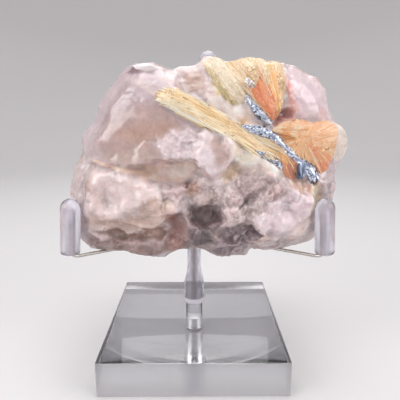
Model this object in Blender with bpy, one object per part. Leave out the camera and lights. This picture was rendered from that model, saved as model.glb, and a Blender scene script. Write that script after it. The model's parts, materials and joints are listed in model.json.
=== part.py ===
"""Rutile and hematite on a piece of quartz, held by a clear three-arm display stand.

World axes: +Z up, +X to the right and +Y away from someone who faces the specimen.
The origin is the centre of the acrylic base's underside. Lengths are written in millimetres.
The stone's own frame leans back by STONE_LEAN: x runs right, z up its face, and -y comes out of its face.
"""

import math
import random

import bmesh
import bpy
import numpy as np
from mathutils import Vector, noise
from mathutils.bvhtree import BVHTree

MM = 0.001
GAP = 0.3

# The stand: a half inch acrylic block 2.5 inches square, and a quarter inch rod in its middle
BASE_SIDE = 63.5
BASE_HEIGHT = 12.3
BASE_EDGE = 0.4
SOCKET_FLOOR = 2.0
POST_RADIUS = 3.175
POST_TOP = 26.5
WIRE_RADIUS = 0.55
WIRE_CIRCLE = (2 * WIRE_RADIUS + GAP) / math.sqrt(3)
WIRE_BORE = WIRE_CIRCLE + WIRE_RADIUS + GAP
WIRE_FOOT = 19.0
SLEEVE_BOTTOM = 18.4
SLEEVE_SHOULDER = 27.2
SLEEVE_NECK = 32.6
SLEEVE_TOP = 43.6
SLEEVE_FLARE = 3.95
SLEEVE_WAIST = 2.5
ROUND_SIDES = 24

# The soft tips on the wires
TIP_RADIUS = 3.2
TIP_BORE = 1.0
TIP_LENGTH = 18.4
TIP_BORE_LENGTH = 15.4
TIP_SIDES = 16
WIRE_INTO_TIP = 11.0

# Where each arm bends, and the middle of its tip's open end with the direction that the tip points in
ARM_HEIGHT = 45.6
LEFT_TIP = Vector((-40.1, -21.6, 45.9))
LEFT_TIP_AIM = Vector((0.07, 0.0, 1.0)).normalized()
RIGHT_TIP = Vector((42.9, -21.6, 45.8))
RIGHT_TIP_AIM = Vector((-0.06, 0.0, 1.0)).normalized()
BACK_TIP = Vector((4.3, 11.0, 94.2))
BACK_TIP_AIM = Vector((0.06, 0.06, 1.0)).normalized()
ARM_BEND = 3.0

# The stone's place on the stand
STONE_CENTRE = Vector((5.0, -7.0, 75.2))
STONE_LEAN = math.radians(7.25)
FRONT_DEPTH = 14.5
BACK_DEPTH = 14.0
QUARTZ_TRIANGLES = 4800

# Behind, the stone thins to SEAT_DEPTH at its foot, where the wires pass, and both faces thin at its crown
SEAT_DEPTH = 5.5
SEAT_HEIGHTS = (-33.0, -11.0)
CROWN_HEIGHTS = (34.0, 18.0)
CROWN_FRONT = 0.82
CROWN_BACK = 0.75
RIM_POWER = 3.0
PLAIN_RIM = 0.22

# The break: small planes of (cell size, tilt, step) and rounder lumps of (size, height)
PLANES = [(14.0, 0.16, 0.9), (6.0, 0.22, 0.5)]
PLANE_BLEND = 0.07
PLANE_WANDER = 0.35
LUMPS = [(10.0, 1.6), (4.0, 0.5)]
SMOOTH_AREAS = ("glassy upper block", "rim above the cleft")
SMOOTH_SHARE = 0.7
FACE_ROUGHNESS = 0.5
FOOT_ROUGHNESS = 0.7
FOOT_HEIGHTS = (-2.0, -16.0)

# The stone's outline seen from the front, from its left end, clockwise
OUTLINE = [
    (-42.5, 1.5), (-43.0, 5.0), (-42.5, 7.5), (-37.5, 13.0), (-37.0, 17.0), (-31.5, 25.0), (-28.5, 29.0),
    (-25.5, 31.0), (-18.5, 31.5), (-12.5, 29.0), (-4.0, 31.0), (-1.5, 33.5), (3.0, 33.5), (6.5, 32.0),
    (22.5, 31.5), (29.0, 30.0), (32.5, 27.5), (35.5, 27.0), (39.0, 22.0), (39.5, 18.5), (41.5, 13.0),
    (46.0, 10.0), (46.5, 6.0), (46.0, 2.5), (43.0, -4.0), (43.5, -9.0), (42.0, -13.5), (42.0, -19.5),
    (38.0, -26.5), (26.0, -31.0), (15.0, -30.5), (12.0, -33.0), (3.5, -33.5), (-1.0, -31.5), (-8.5, -32.0),
    (-16.5, -33.5), (-30.5, -31.5), (-40.5, -30.5), (-44.5, -25.0), (-46.5, -13.0), (-45.0, -4.5),
]

# Steps of the broken face: outline, height out of the face, and the width of its edge
FACE_STEPS = {
    "glassy upper block": (
        [(-46.0, 4.0), (-37.0, -1.0), (-26.0, -3.5), (-18.5, -1.6), (-13.5, -0.6), (-4.0, -1.0), (-3.5, 5.5),
         (1.5, 8.5), (-3.0, 13.5), (-9.0, 20.0), (-13.0, 38.0), (-46.0, 38.0)],
        3.4, 1.8,
    ),
    "hollow under the block": (
        [(-26.0, -3.6), (-18.5, -1.8), (-13.5, -0.8), (-4.0, -1.2), (-2.0, -5.5), (-6.0, -8.5),
         (-12.0, -9.0), (-17.0, -7.0), (-21.5, -5.0)],
        -3.0, 2.0,
    ),
    "lower left mass": (
        [(-44.0, -4.0), (-36.0, -2.6), (-26.5, -5.0), (-19.0, -8.0), (-15.5, -11.5), (-17.0, -15.5),
         (-21.5, -18.0), (-28.0, -20.5), (-37.5, -19.5), (-44.0, -15.0)],
        2.2, 2.4,
    ),
    "middle lump": (
        [(-4.2, 2.5), (-1.5, 7.0), (2.5, 8.4), (7.0, 7.4), (8.5, 2.5), (7.2, -1.0), (4.0, -4.5),
         (1.0, -6.2), (-3.0, -3.8), (-4.2, -0.5)],
        4.6, 2.0,
    ),
    "ridge below the lump": (
        [(-10.0, -9.5), (-2.0, -8.0), (7.0, -6.5), (14.0, -5.0), (18.0, -8.5), (12.0, -12.0), (2.0, -13.5),
         (-6.0, -14.0)],
        1.4, 2.4,
    ),
    "lower right mass": (
        [(15.5, -12.5), (20.5, -8.0), (28.0, -9.0), (33.5, -13.0), (33.5, -21.5), (28.5, -26.0),
         (21.0, -27.5), (16.0, -25.0), (14.0, -20.0)],
        3.2, 3.4,
    ),
    "smoky pit": (
        [(-6.5, -14.8), (-1.5, -14.4), (3.5, -16.0), (4.5, -19.0), (-1.0, -21.5), (-6.0, -20.0)], -4.2, 1.8,
    ),
    "smoky pit by the foot": (
        [(1.5, -23.0), (8.0, -21.0), (13.0, -21.0), (15.5, -24.0), (12.5, -26.5), (5.0, -28.0)], -3.0, 1.8,
    ),
    "lower left ledge": (
        [(-34.0, -23.0), (-26.5, -21.5), (-18.5, -22.5), (-14.0, -21.5), (-12.5, -26.0), (-20.0, -28.0),
         (-31.0, -27.5)],
        -2.4, 1.8,
    ),
    "red pit": ([(-13.5, -17.5), (-9.0, -16.5), (-7.5, -21.0), (-8.5, -27.0), (-12.5, -27.0)], -1.6, 1.8),
    "dark cleft": ([(19.5, 11.0), (21.5, 14.5), (24.0, 16.0), (26.5, 13.8), (25.0, 12.0)], -3.0, 1.6),
    "rutile hollow": (
        [(9.0, 26.0), (20.0, 27.0), (26.0, 18.0), (36.0, 12.0), (36.0, -4.0), (26.0, -8.0), (16.0, 0.0),
         (8.0, 10.0)],
        -1.2, 5.0,
    ),
    "rim above the cleft": (
        [(25.5, 27.0), (31.0, 24.0), (35.0, 19.0), (36.5, 12.5), (29.0, 13.0), (27.0, 18.0)], 1.6, 3.0,
    ),
    "seat of the left tip": ([(-52.0, -8.0), (-40.0, -9.0), (-39.5, -34.0), (-52.0, -34.0)], -1.6, 3.0),
    "seat of the right tip": ([(34.0, -8.0), (50.0, -8.0), (50.0, -34.0), (34.0, -34.0)], -4.6, 3.0),
}

# Crystals on the face: stations of (x, z, half width) along the middle of each, how far it stands out of
# the face and how deep it is rooted below it. A vein is rooted deeper than the rutile that it parts.
HEMATITE = {
    "hematite_blade": (
        [(11.4, 17.8, 0.7), (13.4, 15.4, 1.0), (15.8, 12.9, 1.2), (18.4, 10.9, 0.8)],
        1.6, 2.6,
    ),
    "hematite_vein": (
        [(11.2, 9.8, 0.9), (14.0, 8.8, 1.6), (17.5, 7.4, 1.4), (20.5, 5.4, 1.1), (23.5, 3.0, 1.1),
         (26.2, 0.2, 1.3), (29.2, -3.2, 2.6), (32.6, -6.2, 2.2)],
        1.5, 2.6,
    ),
    "hematite_seam": (
        [(14.4, -0.4, 0.6), (17.0, -1.6, 0.9), (19.6, -3.0, 0.9), (21.6, -4.6, 0.6)],
        1.2, 2.4,
    ),
    "hematite_tuft": ([(10.6, 24.4, 0.9), (12.2, 22.8, 1.2), (13.6, 21.2, 0.9)], 1.5, 2.6),
}
RUTILE = {
    "rutile_bundle_long": (
        [(-14.5, 18.2, 2.0), (-11.0, 17.8, 3.2), (-6.0, 15.4, 3.6), (-1.0, 12.8, 3.4), (4.0, 10.4, 2.6),
         (8.0, 7.2, 2.3), (12.0, 4.4, 2.0), (16.0, 2.4, 1.4), (18.6, 0.8, 0.8)],
        1.4, 2.2,
    ),
    "rutile_bundle_top": ([(2.0, 29.4, 2.4), (4.0, 26.0, 3.0), (6.0, 22.6, 3.0), (8.4, 19.0, 1.8)], 1.3, 1.9),
    "rutile_fan_upper": (
        [(17.0, 29.4, 7.2), (17.4, 26.0, 7.0), (18.4, 21.8, 6.0), (20.0, 18.0, 4.8), (21.2, 15.2, 2.8)],
        1.1, 1.6,
    ),
    "rutile_fan_right": (
        [(21.8, 7.4, 1.6), (25.0, 6.6, 4.0), (29.2, 4.8, 5.8), (33.2, 3.6, 6.6), (37.8, 3.2, 6.0)], 1.1, 1.6,
    ),
    "rutile_fan_lower": (
        [(22.0, -0.4, 1.2), (23.8, -2.6, 2.0), (25.2, -5.2, 2.2), (26.6, -7.8, 1.5)],
        0.9, 1.6,
    ),
}
CRYSTAL_GAP = 0.4
STATION_STEP = 2.4
CRYSTAL_COLUMNS = 7
FIBRE_RIDGE = 0.3
SEEN_FROM = 80.0

PALETTE = {
    "quartz": ("D8CBCB", 0.35, 0.0),
    "rutile": ("D9A85C", 0.45, 0.0),
    "hematite": ("6C7688", 0.3, 0.8),
    "acrylic": ("C9CBD6", 0.15, 0.0),
    "vinyl": ("E4E2EA", 0.35, 0.0),
    "steel": ("C9C4BC", 0.25, 1.0),
}


def linear_colour(code):
    """The linear RGBA value of an sRGB hex code."""
    channels = [int(code[i : i + 2], 16) / 255 for i in (0, 2, 4)]
    return [c / 12.92 if c <= 0.04045 else ((c + 0.055) / 1.055) ** 2.4 for c in channels] + [1.0]


def make_materials():
    made = {}
    for name, (code, roughness, metallic) in PALETTE.items():
        material = bpy.data.materials.new(name)
        material.use_nodes = True
        shader = material.node_tree.nodes["Principled BSDF"]
        shader.inputs["Base Color"].default_value = linear_colour(code)
        shader.inputs["Roughness"].default_value = roughness
        shader.inputs["Metallic"].default_value = metallic
        made[name] = material
    return made


def add_object(name, data, material=None):
    made = bpy.data.objects.new(name, data)
    bpy.context.scene.collection.objects.link(made)
    if material is not None:
        data.materials.append(material)
    return made


def hide_helper(helper):
    helper.hide_render = True
    helper.display_type = "WIRE"
    return helper


def cut(target, *cutters):
    for cutter in cutters:
        step = target.modifiers.new("cut by " + cutter.name, "BOOLEAN")
        step.operation = "DIFFERENCE"
        step.solver = "EXACT"
        step.object = cutter


def turned(name, profile, sides, material=None):
    """A solid turned about Z from a closed loop of (radius, height), which may touch the axis."""
    bm = bmesh.new()
    corners = [bm.verts.new(Vector((r, 0, z)) * MM) for r, z in profile]
    rim = [bm.edges.new((a, b)) for a, b in zip(corners, corners[1:])]
    if profile[0][0] > 0:
        rim.append(bm.edges.new((corners[-1], corners[0])))
    bmesh.ops.spin(
        bm, geom=corners + rim, cent=(0, 0, 0), axis=(0, 0, 1), dvec=(0, 0, 0),
        angle=2 * math.pi, steps=sides, use_merge=True,
    )
    bmesh.ops.remove_doubles(bm, verts=bm.verts, dist=0.01 * MM)
    bmesh.ops.recalc_face_normals(bm, faces=bm.faces)
    mesh = bpy.data.meshes.new(name)
    bm.to_mesh(mesh)
    bm.free()
    mesh.shade_smooth()
    mesh.set_sharp_from_angle(angle=math.radians(40))
    return add_object(name, mesh, material)


def quarter_arc(radius, height, corner, steps, start=0.0):
    """Points of (radius, height) round a corner from an upright wall to a flat top."""
    return [
        (radius - corner + corner * math.cos(a), height - corner + corner * math.sin(a))
        for a in np.linspace(start, math.pi / 2, steps)
    ]


# The stand


def make_base(material):
    half, height = BASE_SIDE / 2, BASE_HEIGHT
    bm = bmesh.new()
    bmesh.ops.create_cube(bm, size=1.0)
    for v in bm.verts:
        v.co = Vector((v.co.x * 2 * half, v.co.y * 2 * half, (v.co.z + 0.5) * height)) * MM
    mesh = bpy.data.meshes.new("acrylic_base")
    bm.to_mesh(mesh)
    bm.free()
    base = add_object("acrylic_base", mesh, material)
    edge = base.modifiers.new("polished edge", "BEVEL")
    edge.width = BASE_EDGE * MM
    edge.segments = 1
    socket_wall = POST_RADIUS + GAP
    mouth = BASE_HEIGHT + 2.0
    socket = [(0, SOCKET_FLOOR), (socket_wall, SOCKET_FLOOR), (socket_wall, mouth), (0, mouth)]
    cut(base, hide_helper(turned("socket", socket, ROUND_SIDES)))
    return base


def make_post(material):
    foot = SOCKET_FLOOR + GAP
    bore_floor = WIRE_FOOT - GAP
    profile = [
        (0, foot), (POST_RADIUS, foot), (POST_RADIUS, POST_TOP - 0.4), (POST_RADIUS - 0.4, POST_TOP),
        (WIRE_BORE, POST_TOP), (WIRE_BORE, bore_floor), (0, bore_floor),
    ]
    return turned("acrylic_post", profile, ROUND_SIDES, material)


def make_post_sleeve(material):
    wide = POST_RADIUS + GAP
    outside = [
        (SLEEVE_FLARE - 0.45, SLEEVE_BOTTOM), (SLEEVE_FLARE, SLEEVE_BOTTOM + 1.0),
        (SLEEVE_FLARE - 0.1, SLEEVE_SHOULDER - 0.6), (SLEEVE_FLARE - 0.65, SLEEVE_SHOULDER + 1.4),
        (SLEEVE_WAIST + 0.35, SLEEVE_NECK - 1.6), (SLEEVE_WAIST, SLEEVE_NECK + 0.8),
        (SLEEVE_WAIST, SLEEVE_TOP - 0.3), (SLEEVE_WAIST - 0.3, SLEEVE_TOP),
    ]
    inside = [
        (WIRE_BORE, SLEEVE_TOP), (WIRE_BORE, SLEEVE_NECK), (wide - 0.9, SLEEVE_SHOULDER + 1.2),
        (wide, SLEEVE_SHOULDER), (wide, SLEEVE_BOTTOM),
    ]
    return turned("post_sleeve", outside + inside, ROUND_SIDES, material)


def rounded_path(corners, radius, steps=4):
    """A path through the corners, with each inner corner made an arc of that radius or less."""
    path = [corners[0]]
    for before, corner, after in zip(corners, corners[1:], corners[2:]):
        back, ahead = (before - corner).normalized(), (after - corner).normalized()
        half = back.angle(ahead) / 2
        reach = min(radius / math.tan(half), 0.45 * (before - corner).length, 0.45 * (after - corner).length)
        for t in np.linspace(0, 1, steps + 1):
            start, end = corner + back * reach, corner + ahead * reach
            path.append(start.lerp(corner, t).lerp(corner.lerp(end, t), t))
    return path + [corners[-1]]


def tube(name, path, radius, material=None):
    curve = bpy.data.curves.new(name, "CURVE")
    curve.dimensions = "3D"
    curve.bevel_depth = radius * MM
    curve.bevel_resolution = 2
    curve.use_fill_caps = True
    line = curve.splines.new("POLY")
    line.points.add(len(path) - 1)
    for point, place in zip(line.points, path):
        point.co = (*(place * MM), 1.0)
    return add_object(name, curve, material)


def as_mesh_helper(source, name):
    """A hidden mesh copy of a curve, because a Boolean needs a mesh."""
    graph = bpy.context.evaluated_depsgraph_get()
    mesh = bpy.data.meshes.new_from_object(source.evaluated_get(graph))
    bpy.data.objects.remove(source)
    bm = bmesh.new()
    bm.from_mesh(mesh)
    bmesh.ops.remove_doubles(bm, verts=bm.verts, dist=0.002 * MM)
    bmesh.ops.recalc_face_normals(bm, faces=bm.faces)
    bm.to_mesh(mesh)
    bm.free()
    return hide_helper(add_object(name, mesh))


def arm_corners(turn, tip, aim, way):
    """The corners of one wire, from its foot in the post to its end inside the tip."""
    foot = Vector((WIRE_CIRCLE * math.cos(turn), WIRE_CIRCLE * math.sin(turn), WIRE_FOOT))
    top = Vector((foot.x, foot.y, ARM_HEIGHT))
    elbow = tip - aim * 1.4
    return [foot, top, *way, elbow, tip + aim * WIRE_INTO_TIP]


ARMS = {
    "left": arm_corners(math.radians(210), LEFT_TIP, LEFT_TIP_AIM, []),
    "right": arm_corners(math.radians(330), RIGHT_TIP, RIGHT_TIP_AIM, []),
    "back": arm_corners(
        math.radians(90), BACK_TIP, BACK_TIP_AIM, [Vector((1.2, 11.8, 47.0)), Vector((2.4, 10.6, 68.0))]
    ),
}
TIPS = {
    "left": (LEFT_TIP, LEFT_TIP_AIM),
    "right": (RIGHT_TIP, RIGHT_TIP_AIM),
    "back": (BACK_TIP, BACK_TIP_AIM),
}


def tip_profile(grown=0.0):
    """A round-ended soft cap, bored to take the wire. A grown one is solid, for cutting clearance."""
    radius, length = TIP_RADIUS + grown, TIP_LENGTH + grown
    dome = [(r, z) for r, z in quarter_arc(radius, length, radius, 5)][:-1] + [(0, length)]
    if grown:
        return [(0, -grown), (radius, -grown)] + dome
    bore = [(0, TIP_BORE_LENGTH), (TIP_BORE, TIP_BORE_LENGTH - 0.7), (TIP_BORE, 0)]
    return bore + [(radius - 0.7, 0), (radius, 0.7)] + dome


def place_tip(tip, foot, aim):
    tip.location = foot * MM
    tip.rotation_euler = aim.to_track_quat("Z", "Y").to_euler()
    return tip


# The stone


def inside_distance(x, z, corners):
    """Signed distance in the face's plane to a closed outline, more than 0 inside it."""
    nearest = np.full(x.shape, 1e9)
    inside = np.zeros(x.shape, bool)
    for (ax, az), (bx, bz) in zip(corners, corners[1:] + corners[:1]):
        dx, dz = bx - ax, bz - az
        t = np.clip(((x - ax) * dx + (z - az) * dz) / (dx * dx + dz * dz), 0, 1)
        nearest = np.minimum(nearest, np.hypot(x - ax - t * dx, z - az - t * dz))
        if az != bz:
            crosses = ((az > z) != (bz > z)) & (x < dx * (z - az) / dz + ax)
            inside ^= crosses
    return np.where(inside, nearest, -nearest)


def smooth_step(t):
    """From 0 at t = 0 to 1 at t = 1, with level ends."""
    t = np.clip(t, 0, 1)
    return t * t * (3 - 2 * t)


def between(value, start, end):
    """From 0 where the value is at the start to 1 where it is at the end."""
    return smooth_step((value - start) / (end - start))


def covered(x, z, area, edge):
    """1 inside the named area of the face and 0 outside it, across an edge of that width."""
    return smooth_step(inside_distance(x, z, FACE_STEPS[area][0]) / edge + 0.5)


def outline_radius(angle):
    turns = np.array([math.atan2(z, x) for x, z in OUTLINE])
    reach = np.array([math.hypot(x, z) for x, z in OUTLINE])
    order = np.argsort(turns)
    return np.interp(angle, turns[order], reach[order], period=2 * math.pi)


def fracture(points, cell, tilt, step, seed):
    """How far each point moves out where the stone broke along small planes, one for each cell."""
    draw = random.Random(seed)
    low, high = points.min(0) - cell, points.max(0) + cell
    seeds, slopes, shifts = [], [], []
    for place in np.ndindex(*np.ceil((high - low) / cell).astype(int)):
        seeds.append([low[a] + (n + draw.uniform(0.1, 0.9)) * cell for a, n in enumerate(place)])
        slopes.append([draw.uniform(-tilt, tilt) for _ in range(3)])
        shifts.append(draw.uniform(-step, step))
    seeds, slopes, shifts = np.array(seeds), np.array(slopes), np.array(shifts)
    wander = np.array([noise.noise_vector(Vector(p) / cell) for p in points]) * cell * PLANE_WANDER
    found = np.empty(len(points))
    for some in np.array_split(np.arange(len(points)), 12):
        apart = ((points[some] + wander[some])[:, None] - seeds) ** 2
        apart = apart.sum(2)
        share = np.exp((apart.min(1, keepdims=True) - apart) / (PLANE_BLEND * cell**2))
        planes = shifts + points[some] @ slopes.T - (seeds * slopes).sum(1)
        found[some] = (share * planes).sum(1) / share.sum(1)
    return found


def lumps(points, size, seed):
    shift = Vector((7.3, 3.1, 5.7)) * seed
    return np.array([noise.noise(Vector(p) / size + shift) for p in points])


def stone_points(unit, stepped=True):
    """The points of a unit sphere, moved onto the stone's surface in the stone's own frame."""
    across = np.clip(np.hypot(unit[:, 0], unit[:, 2]), 0, 1)
    angle = np.arctan2(unit[:, 2], unit[:, 0])
    reach = outline_radius(angle)
    x, z = reach * across * np.cos(angle), reach * across * np.sin(angle)
    profile = (1 - across**RIM_POWER) ** (1 / RIM_POWER)
    below_crown = between(z, *CROWN_HEIGHTS)
    back = SEAT_DEPTH + (BACK_DEPTH - SEAT_DEPTH) * between(z, *SEAT_HEIGHTS)
    back = back * (CROWN_BACK + (1 - CROWN_BACK) * below_crown)
    front = FRONT_DEPTH * (CROWN_FRONT + (1 - CROWN_FRONT) * below_crown)
    in_front = unit[:, 1] < 0
    out = np.where(in_front, front, -back) * profile
    inner = in_front * between(across, 1, 1 - PLAIN_RIM)
    for area, (_, height, edge) in FACE_STEPS.items() if stepped else ():
        out = out + inner * height * covered(x, z, area, edge)
    return np.stack([x, -out, z], 1)


def roughness_of(points, unit):
    """How rough the break is: nearly smooth on the glassy block and the right rim, rough at the foot."""
    x, y, z = points.T
    smooth = np.maximum(*(covered(x, z, area, 4.0) for area in SMOOTH_AREAS))
    face = (FACE_ROUGHNESS + FOOT_ROUGHNESS * between(z, *FOOT_HEIGHTS)) * (1 - SMOOTH_SHARE * smooth)
    near_outline = between(np.hypot(unit[:, 0], unit[:, 2]), 0.8, 1.0)
    return np.where(y < 0, face, 1.0) * (1 - 0.5 * near_outline)


def make_quartz_mesh():
    """The quartz before its pockets are cut."""
    bm = bmesh.new()
    bmesh.ops.create_icosphere(bm, subdivisions=6, radius=1.0)
    unit = np.array([v.co for v in bm.verts])
    for vertex, place in zip(bm.verts, stone_points(unit, stepped=False)):
        vertex.co = place
    bmesh.ops.recalc_face_normals(bm, faces=bm.faces)
    bm.normal_update()
    normals = np.array([v.normal for v in bm.verts])
    points = stone_points(unit)
    moved = sum(fracture(points, *planes, seed=n) for n, planes in enumerate(PLANES, start=4))
    moved = moved + sum(lumps(points, size, n) * height for n, (size, height) in enumerate(LUMPS, start=1))
    moved = moved * roughness_of(points, unit)
    points = (points + normals * moved[:, None]) * MM
    for vertex, place in zip(bm.verts, points):
        vertex.co = place
    fine = bpy.data.meshes.new("quartz_fine")
    bm.to_mesh(fine)
    bm.free()
    helper = add_object("quartz_fine", fine)
    fewer = helper.modifiers.new("fewer faces", "DECIMATE")
    fewer.ratio = QUARTZ_TRIANGLES / len(fine.polygons)
    graph = bpy.context.evaluated_depsgraph_get()
    mesh = bpy.data.meshes.new_from_object(helper.evaluated_get(graph))
    bpy.data.objects.remove(helper)
    mesh.name = "quartz_matrix"
    return mesh


def face_finder(mesh):
    """A function that gives y of the stone's front surface at (x, z), in the stone's own frame."""
    bm = bmesh.new()
    bm.from_mesh(mesh)
    tree = BVHTree.FromBMesh(bm)
    bm.free()

    def find(x, z):
        for shrink in (1.0, 0.97, 0.94, 0.9, 0.85):
            start = Vector((x * shrink, -SEEN_FROM, z * shrink)) * MM
            hit = tree.ray_cast(start, Vector((0, 1, 0)))[0]
            if hit is not None:
                return hit.y / MM
        raise ValueError(f"({x}, {z}) is outside the stone's outline")

    return find


def closer_stations(stations):
    """The stations with others put between them, so that a crystal follows the face."""
    found = []
    for before, after in zip(stations, stations[1:]):
        steps = max(1, round(math.dist(before[:2], after[:2]) / STATION_STEP))
        found += [tuple(Vector(before).lerp(Vector(after), n / steps)) for n in range(steps)]
    return found + [stations[-1]]


def crystal_mesh(name, crystal, ridge, find_face, grown=0.0):
    """A flat crystal or bundle along its stations, rooted in the stone, with long ridges on its face."""
    stations, stand_out, root = crystal
    stations = closer_stations(stations)
    draw = random.Random(name)
    crest = [draw.uniform(-1, 1) * ridge for _ in range(CRYSTAL_COLUMNS + 1)]
    ends = (0, len(stations) - 1)
    tops, roots = [], []
    for i, (x, z, half) in enumerate(stations):
        before, after = stations[max(i - 1, 0)], stations[min(i + 1, ends[1])]
        ahead = Vector((after[0] - before[0], after[1] - before[1])).normalized()
        side = Vector((-ahead.y, ahead.x))
        middle = Vector((x, z)) + ahead * (-grown if i == 0 else grown if i == ends[1] else 0.0)
        taper = 0.5 if i in ends else 1.0
        for c in range(CRYSTAL_COLUMNS + 1):
            share = 2 * c / CRYSTAL_COLUMNS - 1
            place = middle + side * share * (half + grown)
            face = find_face(place.x, place.y)
            lift = 4.0 if grown else stand_out * taper * (1 - 0.6 * abs(share) ** 3) + crest[c]
            tops.append((place.x, face - lift, place.y))
            roots.append((place.x, face + root + 2.2 * grown, place.y))
    wide, last_row, under = CRYSTAL_COLUMNS + 1, ends[1] * (CRYSTAL_COLUMNS + 1), len(tops)
    faces = []
    for a in range(last_row):
        if a % wide < CRYSTAL_COLUMNS:
            faces.append((a, a + 1, a + wide + 1, a + wide))
            faces.append((under + a, under + a + wide, under + a + wide + 1, under + a + 1))
    near, far = list(range(wide)), list(range(last_row, last_row + wide))
    right = list(range(2 * wide - 1, last_row, wide))
    left = list(range(wide, last_row, wide))
    rim = near + right + far[::-1] + left[::-1]
    faces += [(b, a, under + a, under + b) for a, b in zip(rim, rim[1:] + rim[:1])]
    bm = bmesh.new()
    corners = [bm.verts.new(Vector(p) * MM) for p in tops + roots]
    for face in faces:
        bm.faces.new([corners[i] for i in face])
    bmesh.ops.triangulate(bm, faces=bm.faces)
    bmesh.ops.recalc_face_normals(bm, faces=bm.faces)
    mesh = bpy.data.meshes.new(name)
    bm.to_mesh(mesh)
    bm.free()
    return mesh


def main():
    for old in list(bpy.data.objects):
        bpy.data.objects.remove(old)
    finish = make_materials()

    make_base(finish["acrylic"])
    make_post(finish["acrylic"])
    make_post_sleeve(finish["vinyl"])
    clearances = []
    for side, corners in ARMS.items():
        path = rounded_path(corners, ARM_BEND)
        tube(f"wire_arm_{side}", path, WIRE_RADIUS, finish["steel"])
        room = tube(f"room_for_wire_{side}", path, WIRE_RADIUS + GAP)
        clearances.append(as_mesh_helper(room, f"clear_of_wire_{side}"))
        foot, aim = TIPS[side]
        place_tip(turned(f"wire_tip_{side}", tip_profile(), TIP_SIDES, finish["vinyl"]), foot, aim)
        room = hide_helper(turned(f"clear_of_tip_{side}", tip_profile(GAP), TIP_SIDES))
        clearances.append(place_tip(room, foot, aim))

    room = [(0, SLEEVE_NECK), (SLEEVE_WAIST + GAP, SLEEVE_NECK), (SLEEVE_WAIST + GAP, SLEEVE_TOP + GAP),
            (0, SLEEVE_TOP + GAP)]
    clearances.append(hide_helper(turned("clear_of_sleeve", room, ROUND_SIDES)))

    frame = add_object("stone_frame", None)
    frame.location = STONE_CENTRE * MM
    frame.rotation_euler = (-STONE_LEAN, 0, 0)
    quartz = add_object("quartz_matrix", make_quartz_mesh(), finish["quartz"])
    quartz.parent = frame
    find_face = face_finder(quartz.data)
    cutters = []
    for kind, pieces, ridge in (("hematite", HEMATITE, 0.2), ("rutile", RUTILE, FIBRE_RIDGE)):
        for name, crystal in pieces.items():
            grown = add_object(name, crystal_mesh(name, crystal, ridge, find_face), finish[kind])
            grown.parent = frame
            cut(grown, *cutters)
            room = crystal_mesh("clear_of_" + name, crystal, 0, find_face, CRYSTAL_GAP)
            room = hide_helper(add_object(room.name, room))
            room.parent = frame
            cutters.append(room)
    cut(quartz, *cutters, *clearances)


main()
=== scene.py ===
"""Golden rutile and steel-blue hematite on a broken piece of milky quartz, held up by a clear display stand.

Lengths are written in millimetres. The origin is the middle of the block's underside, x runs right, y away
and z up. The stone leans back, so its own frame has x right, z up its face, and -y out of its face.
"""

import json
import math
import random

import bmesh
import bpy
import numpy as np
from mathutils import Matrix, Vector, noise
from mathutils.bvhtree import BVHTree

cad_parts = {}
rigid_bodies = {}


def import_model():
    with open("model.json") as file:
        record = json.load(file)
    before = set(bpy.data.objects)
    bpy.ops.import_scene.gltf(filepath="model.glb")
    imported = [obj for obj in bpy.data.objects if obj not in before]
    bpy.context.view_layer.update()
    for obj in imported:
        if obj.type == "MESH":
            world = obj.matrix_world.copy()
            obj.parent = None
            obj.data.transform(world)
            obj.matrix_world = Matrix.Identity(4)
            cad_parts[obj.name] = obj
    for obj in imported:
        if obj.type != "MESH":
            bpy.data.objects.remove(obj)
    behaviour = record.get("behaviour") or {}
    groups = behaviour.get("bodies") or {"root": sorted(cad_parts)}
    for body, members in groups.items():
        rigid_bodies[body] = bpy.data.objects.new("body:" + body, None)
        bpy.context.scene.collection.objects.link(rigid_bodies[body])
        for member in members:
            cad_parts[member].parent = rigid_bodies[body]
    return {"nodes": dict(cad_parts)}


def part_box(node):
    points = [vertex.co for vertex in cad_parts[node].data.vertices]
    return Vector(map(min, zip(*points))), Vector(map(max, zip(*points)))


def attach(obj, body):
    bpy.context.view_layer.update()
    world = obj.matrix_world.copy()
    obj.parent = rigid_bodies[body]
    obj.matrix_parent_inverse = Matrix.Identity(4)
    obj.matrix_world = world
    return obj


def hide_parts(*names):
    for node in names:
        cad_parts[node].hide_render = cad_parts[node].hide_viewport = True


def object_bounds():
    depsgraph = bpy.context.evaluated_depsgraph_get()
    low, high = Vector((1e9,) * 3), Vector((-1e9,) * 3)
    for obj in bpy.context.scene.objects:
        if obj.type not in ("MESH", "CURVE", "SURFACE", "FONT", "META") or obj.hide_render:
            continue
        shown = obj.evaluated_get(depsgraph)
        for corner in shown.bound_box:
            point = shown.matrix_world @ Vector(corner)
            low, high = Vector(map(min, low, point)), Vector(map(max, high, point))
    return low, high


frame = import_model()
cad_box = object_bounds()

# The camera
# A lens of about 38 mm on full frame, 150 mm in front of the stand's rod and 94 mm above the table,
# looking down at 13 degrees. It was solved from the corners of the acrylic block.
MM = 0.001
camera = bpy.data.objects.new("camera", bpy.data.cameras.new("camera"))
bpy.context.scene.collection.objects.link(camera)
camera.location = Vector((1.54, -151.66, 93.64)) * MM
camera.rotation_euler = (math.radians(90 - 12.951), 0, math.radians(-0.272))
camera.data.sensor_width = 36.0
camera.data.lens = 37.904
camera.data.clip_start = 5 * MM
bpy.context.scene.camera = camera

# The base
# A square block sawn from half inch cast acrylic. Its top and underside keep the sheet's polish, its sides
# are milled and left satin, its edges are flame polished, and a blind hole in the middle takes the rod.
BASE_SIDE = 63.5
BASE_HEIGHT = 12.3
BASE_EDGE = 0.4
SOCKET_FLOOR = 2.0
SOCKET_RADIUS = 3.24
ACRYLIC = "F7F7FA"
SATIN_DEPTH = 0.05
GLUE_WIDTH = 0.2
MILL_MARK = 0.5
IOR_ACRYLIC = 1.49


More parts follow.
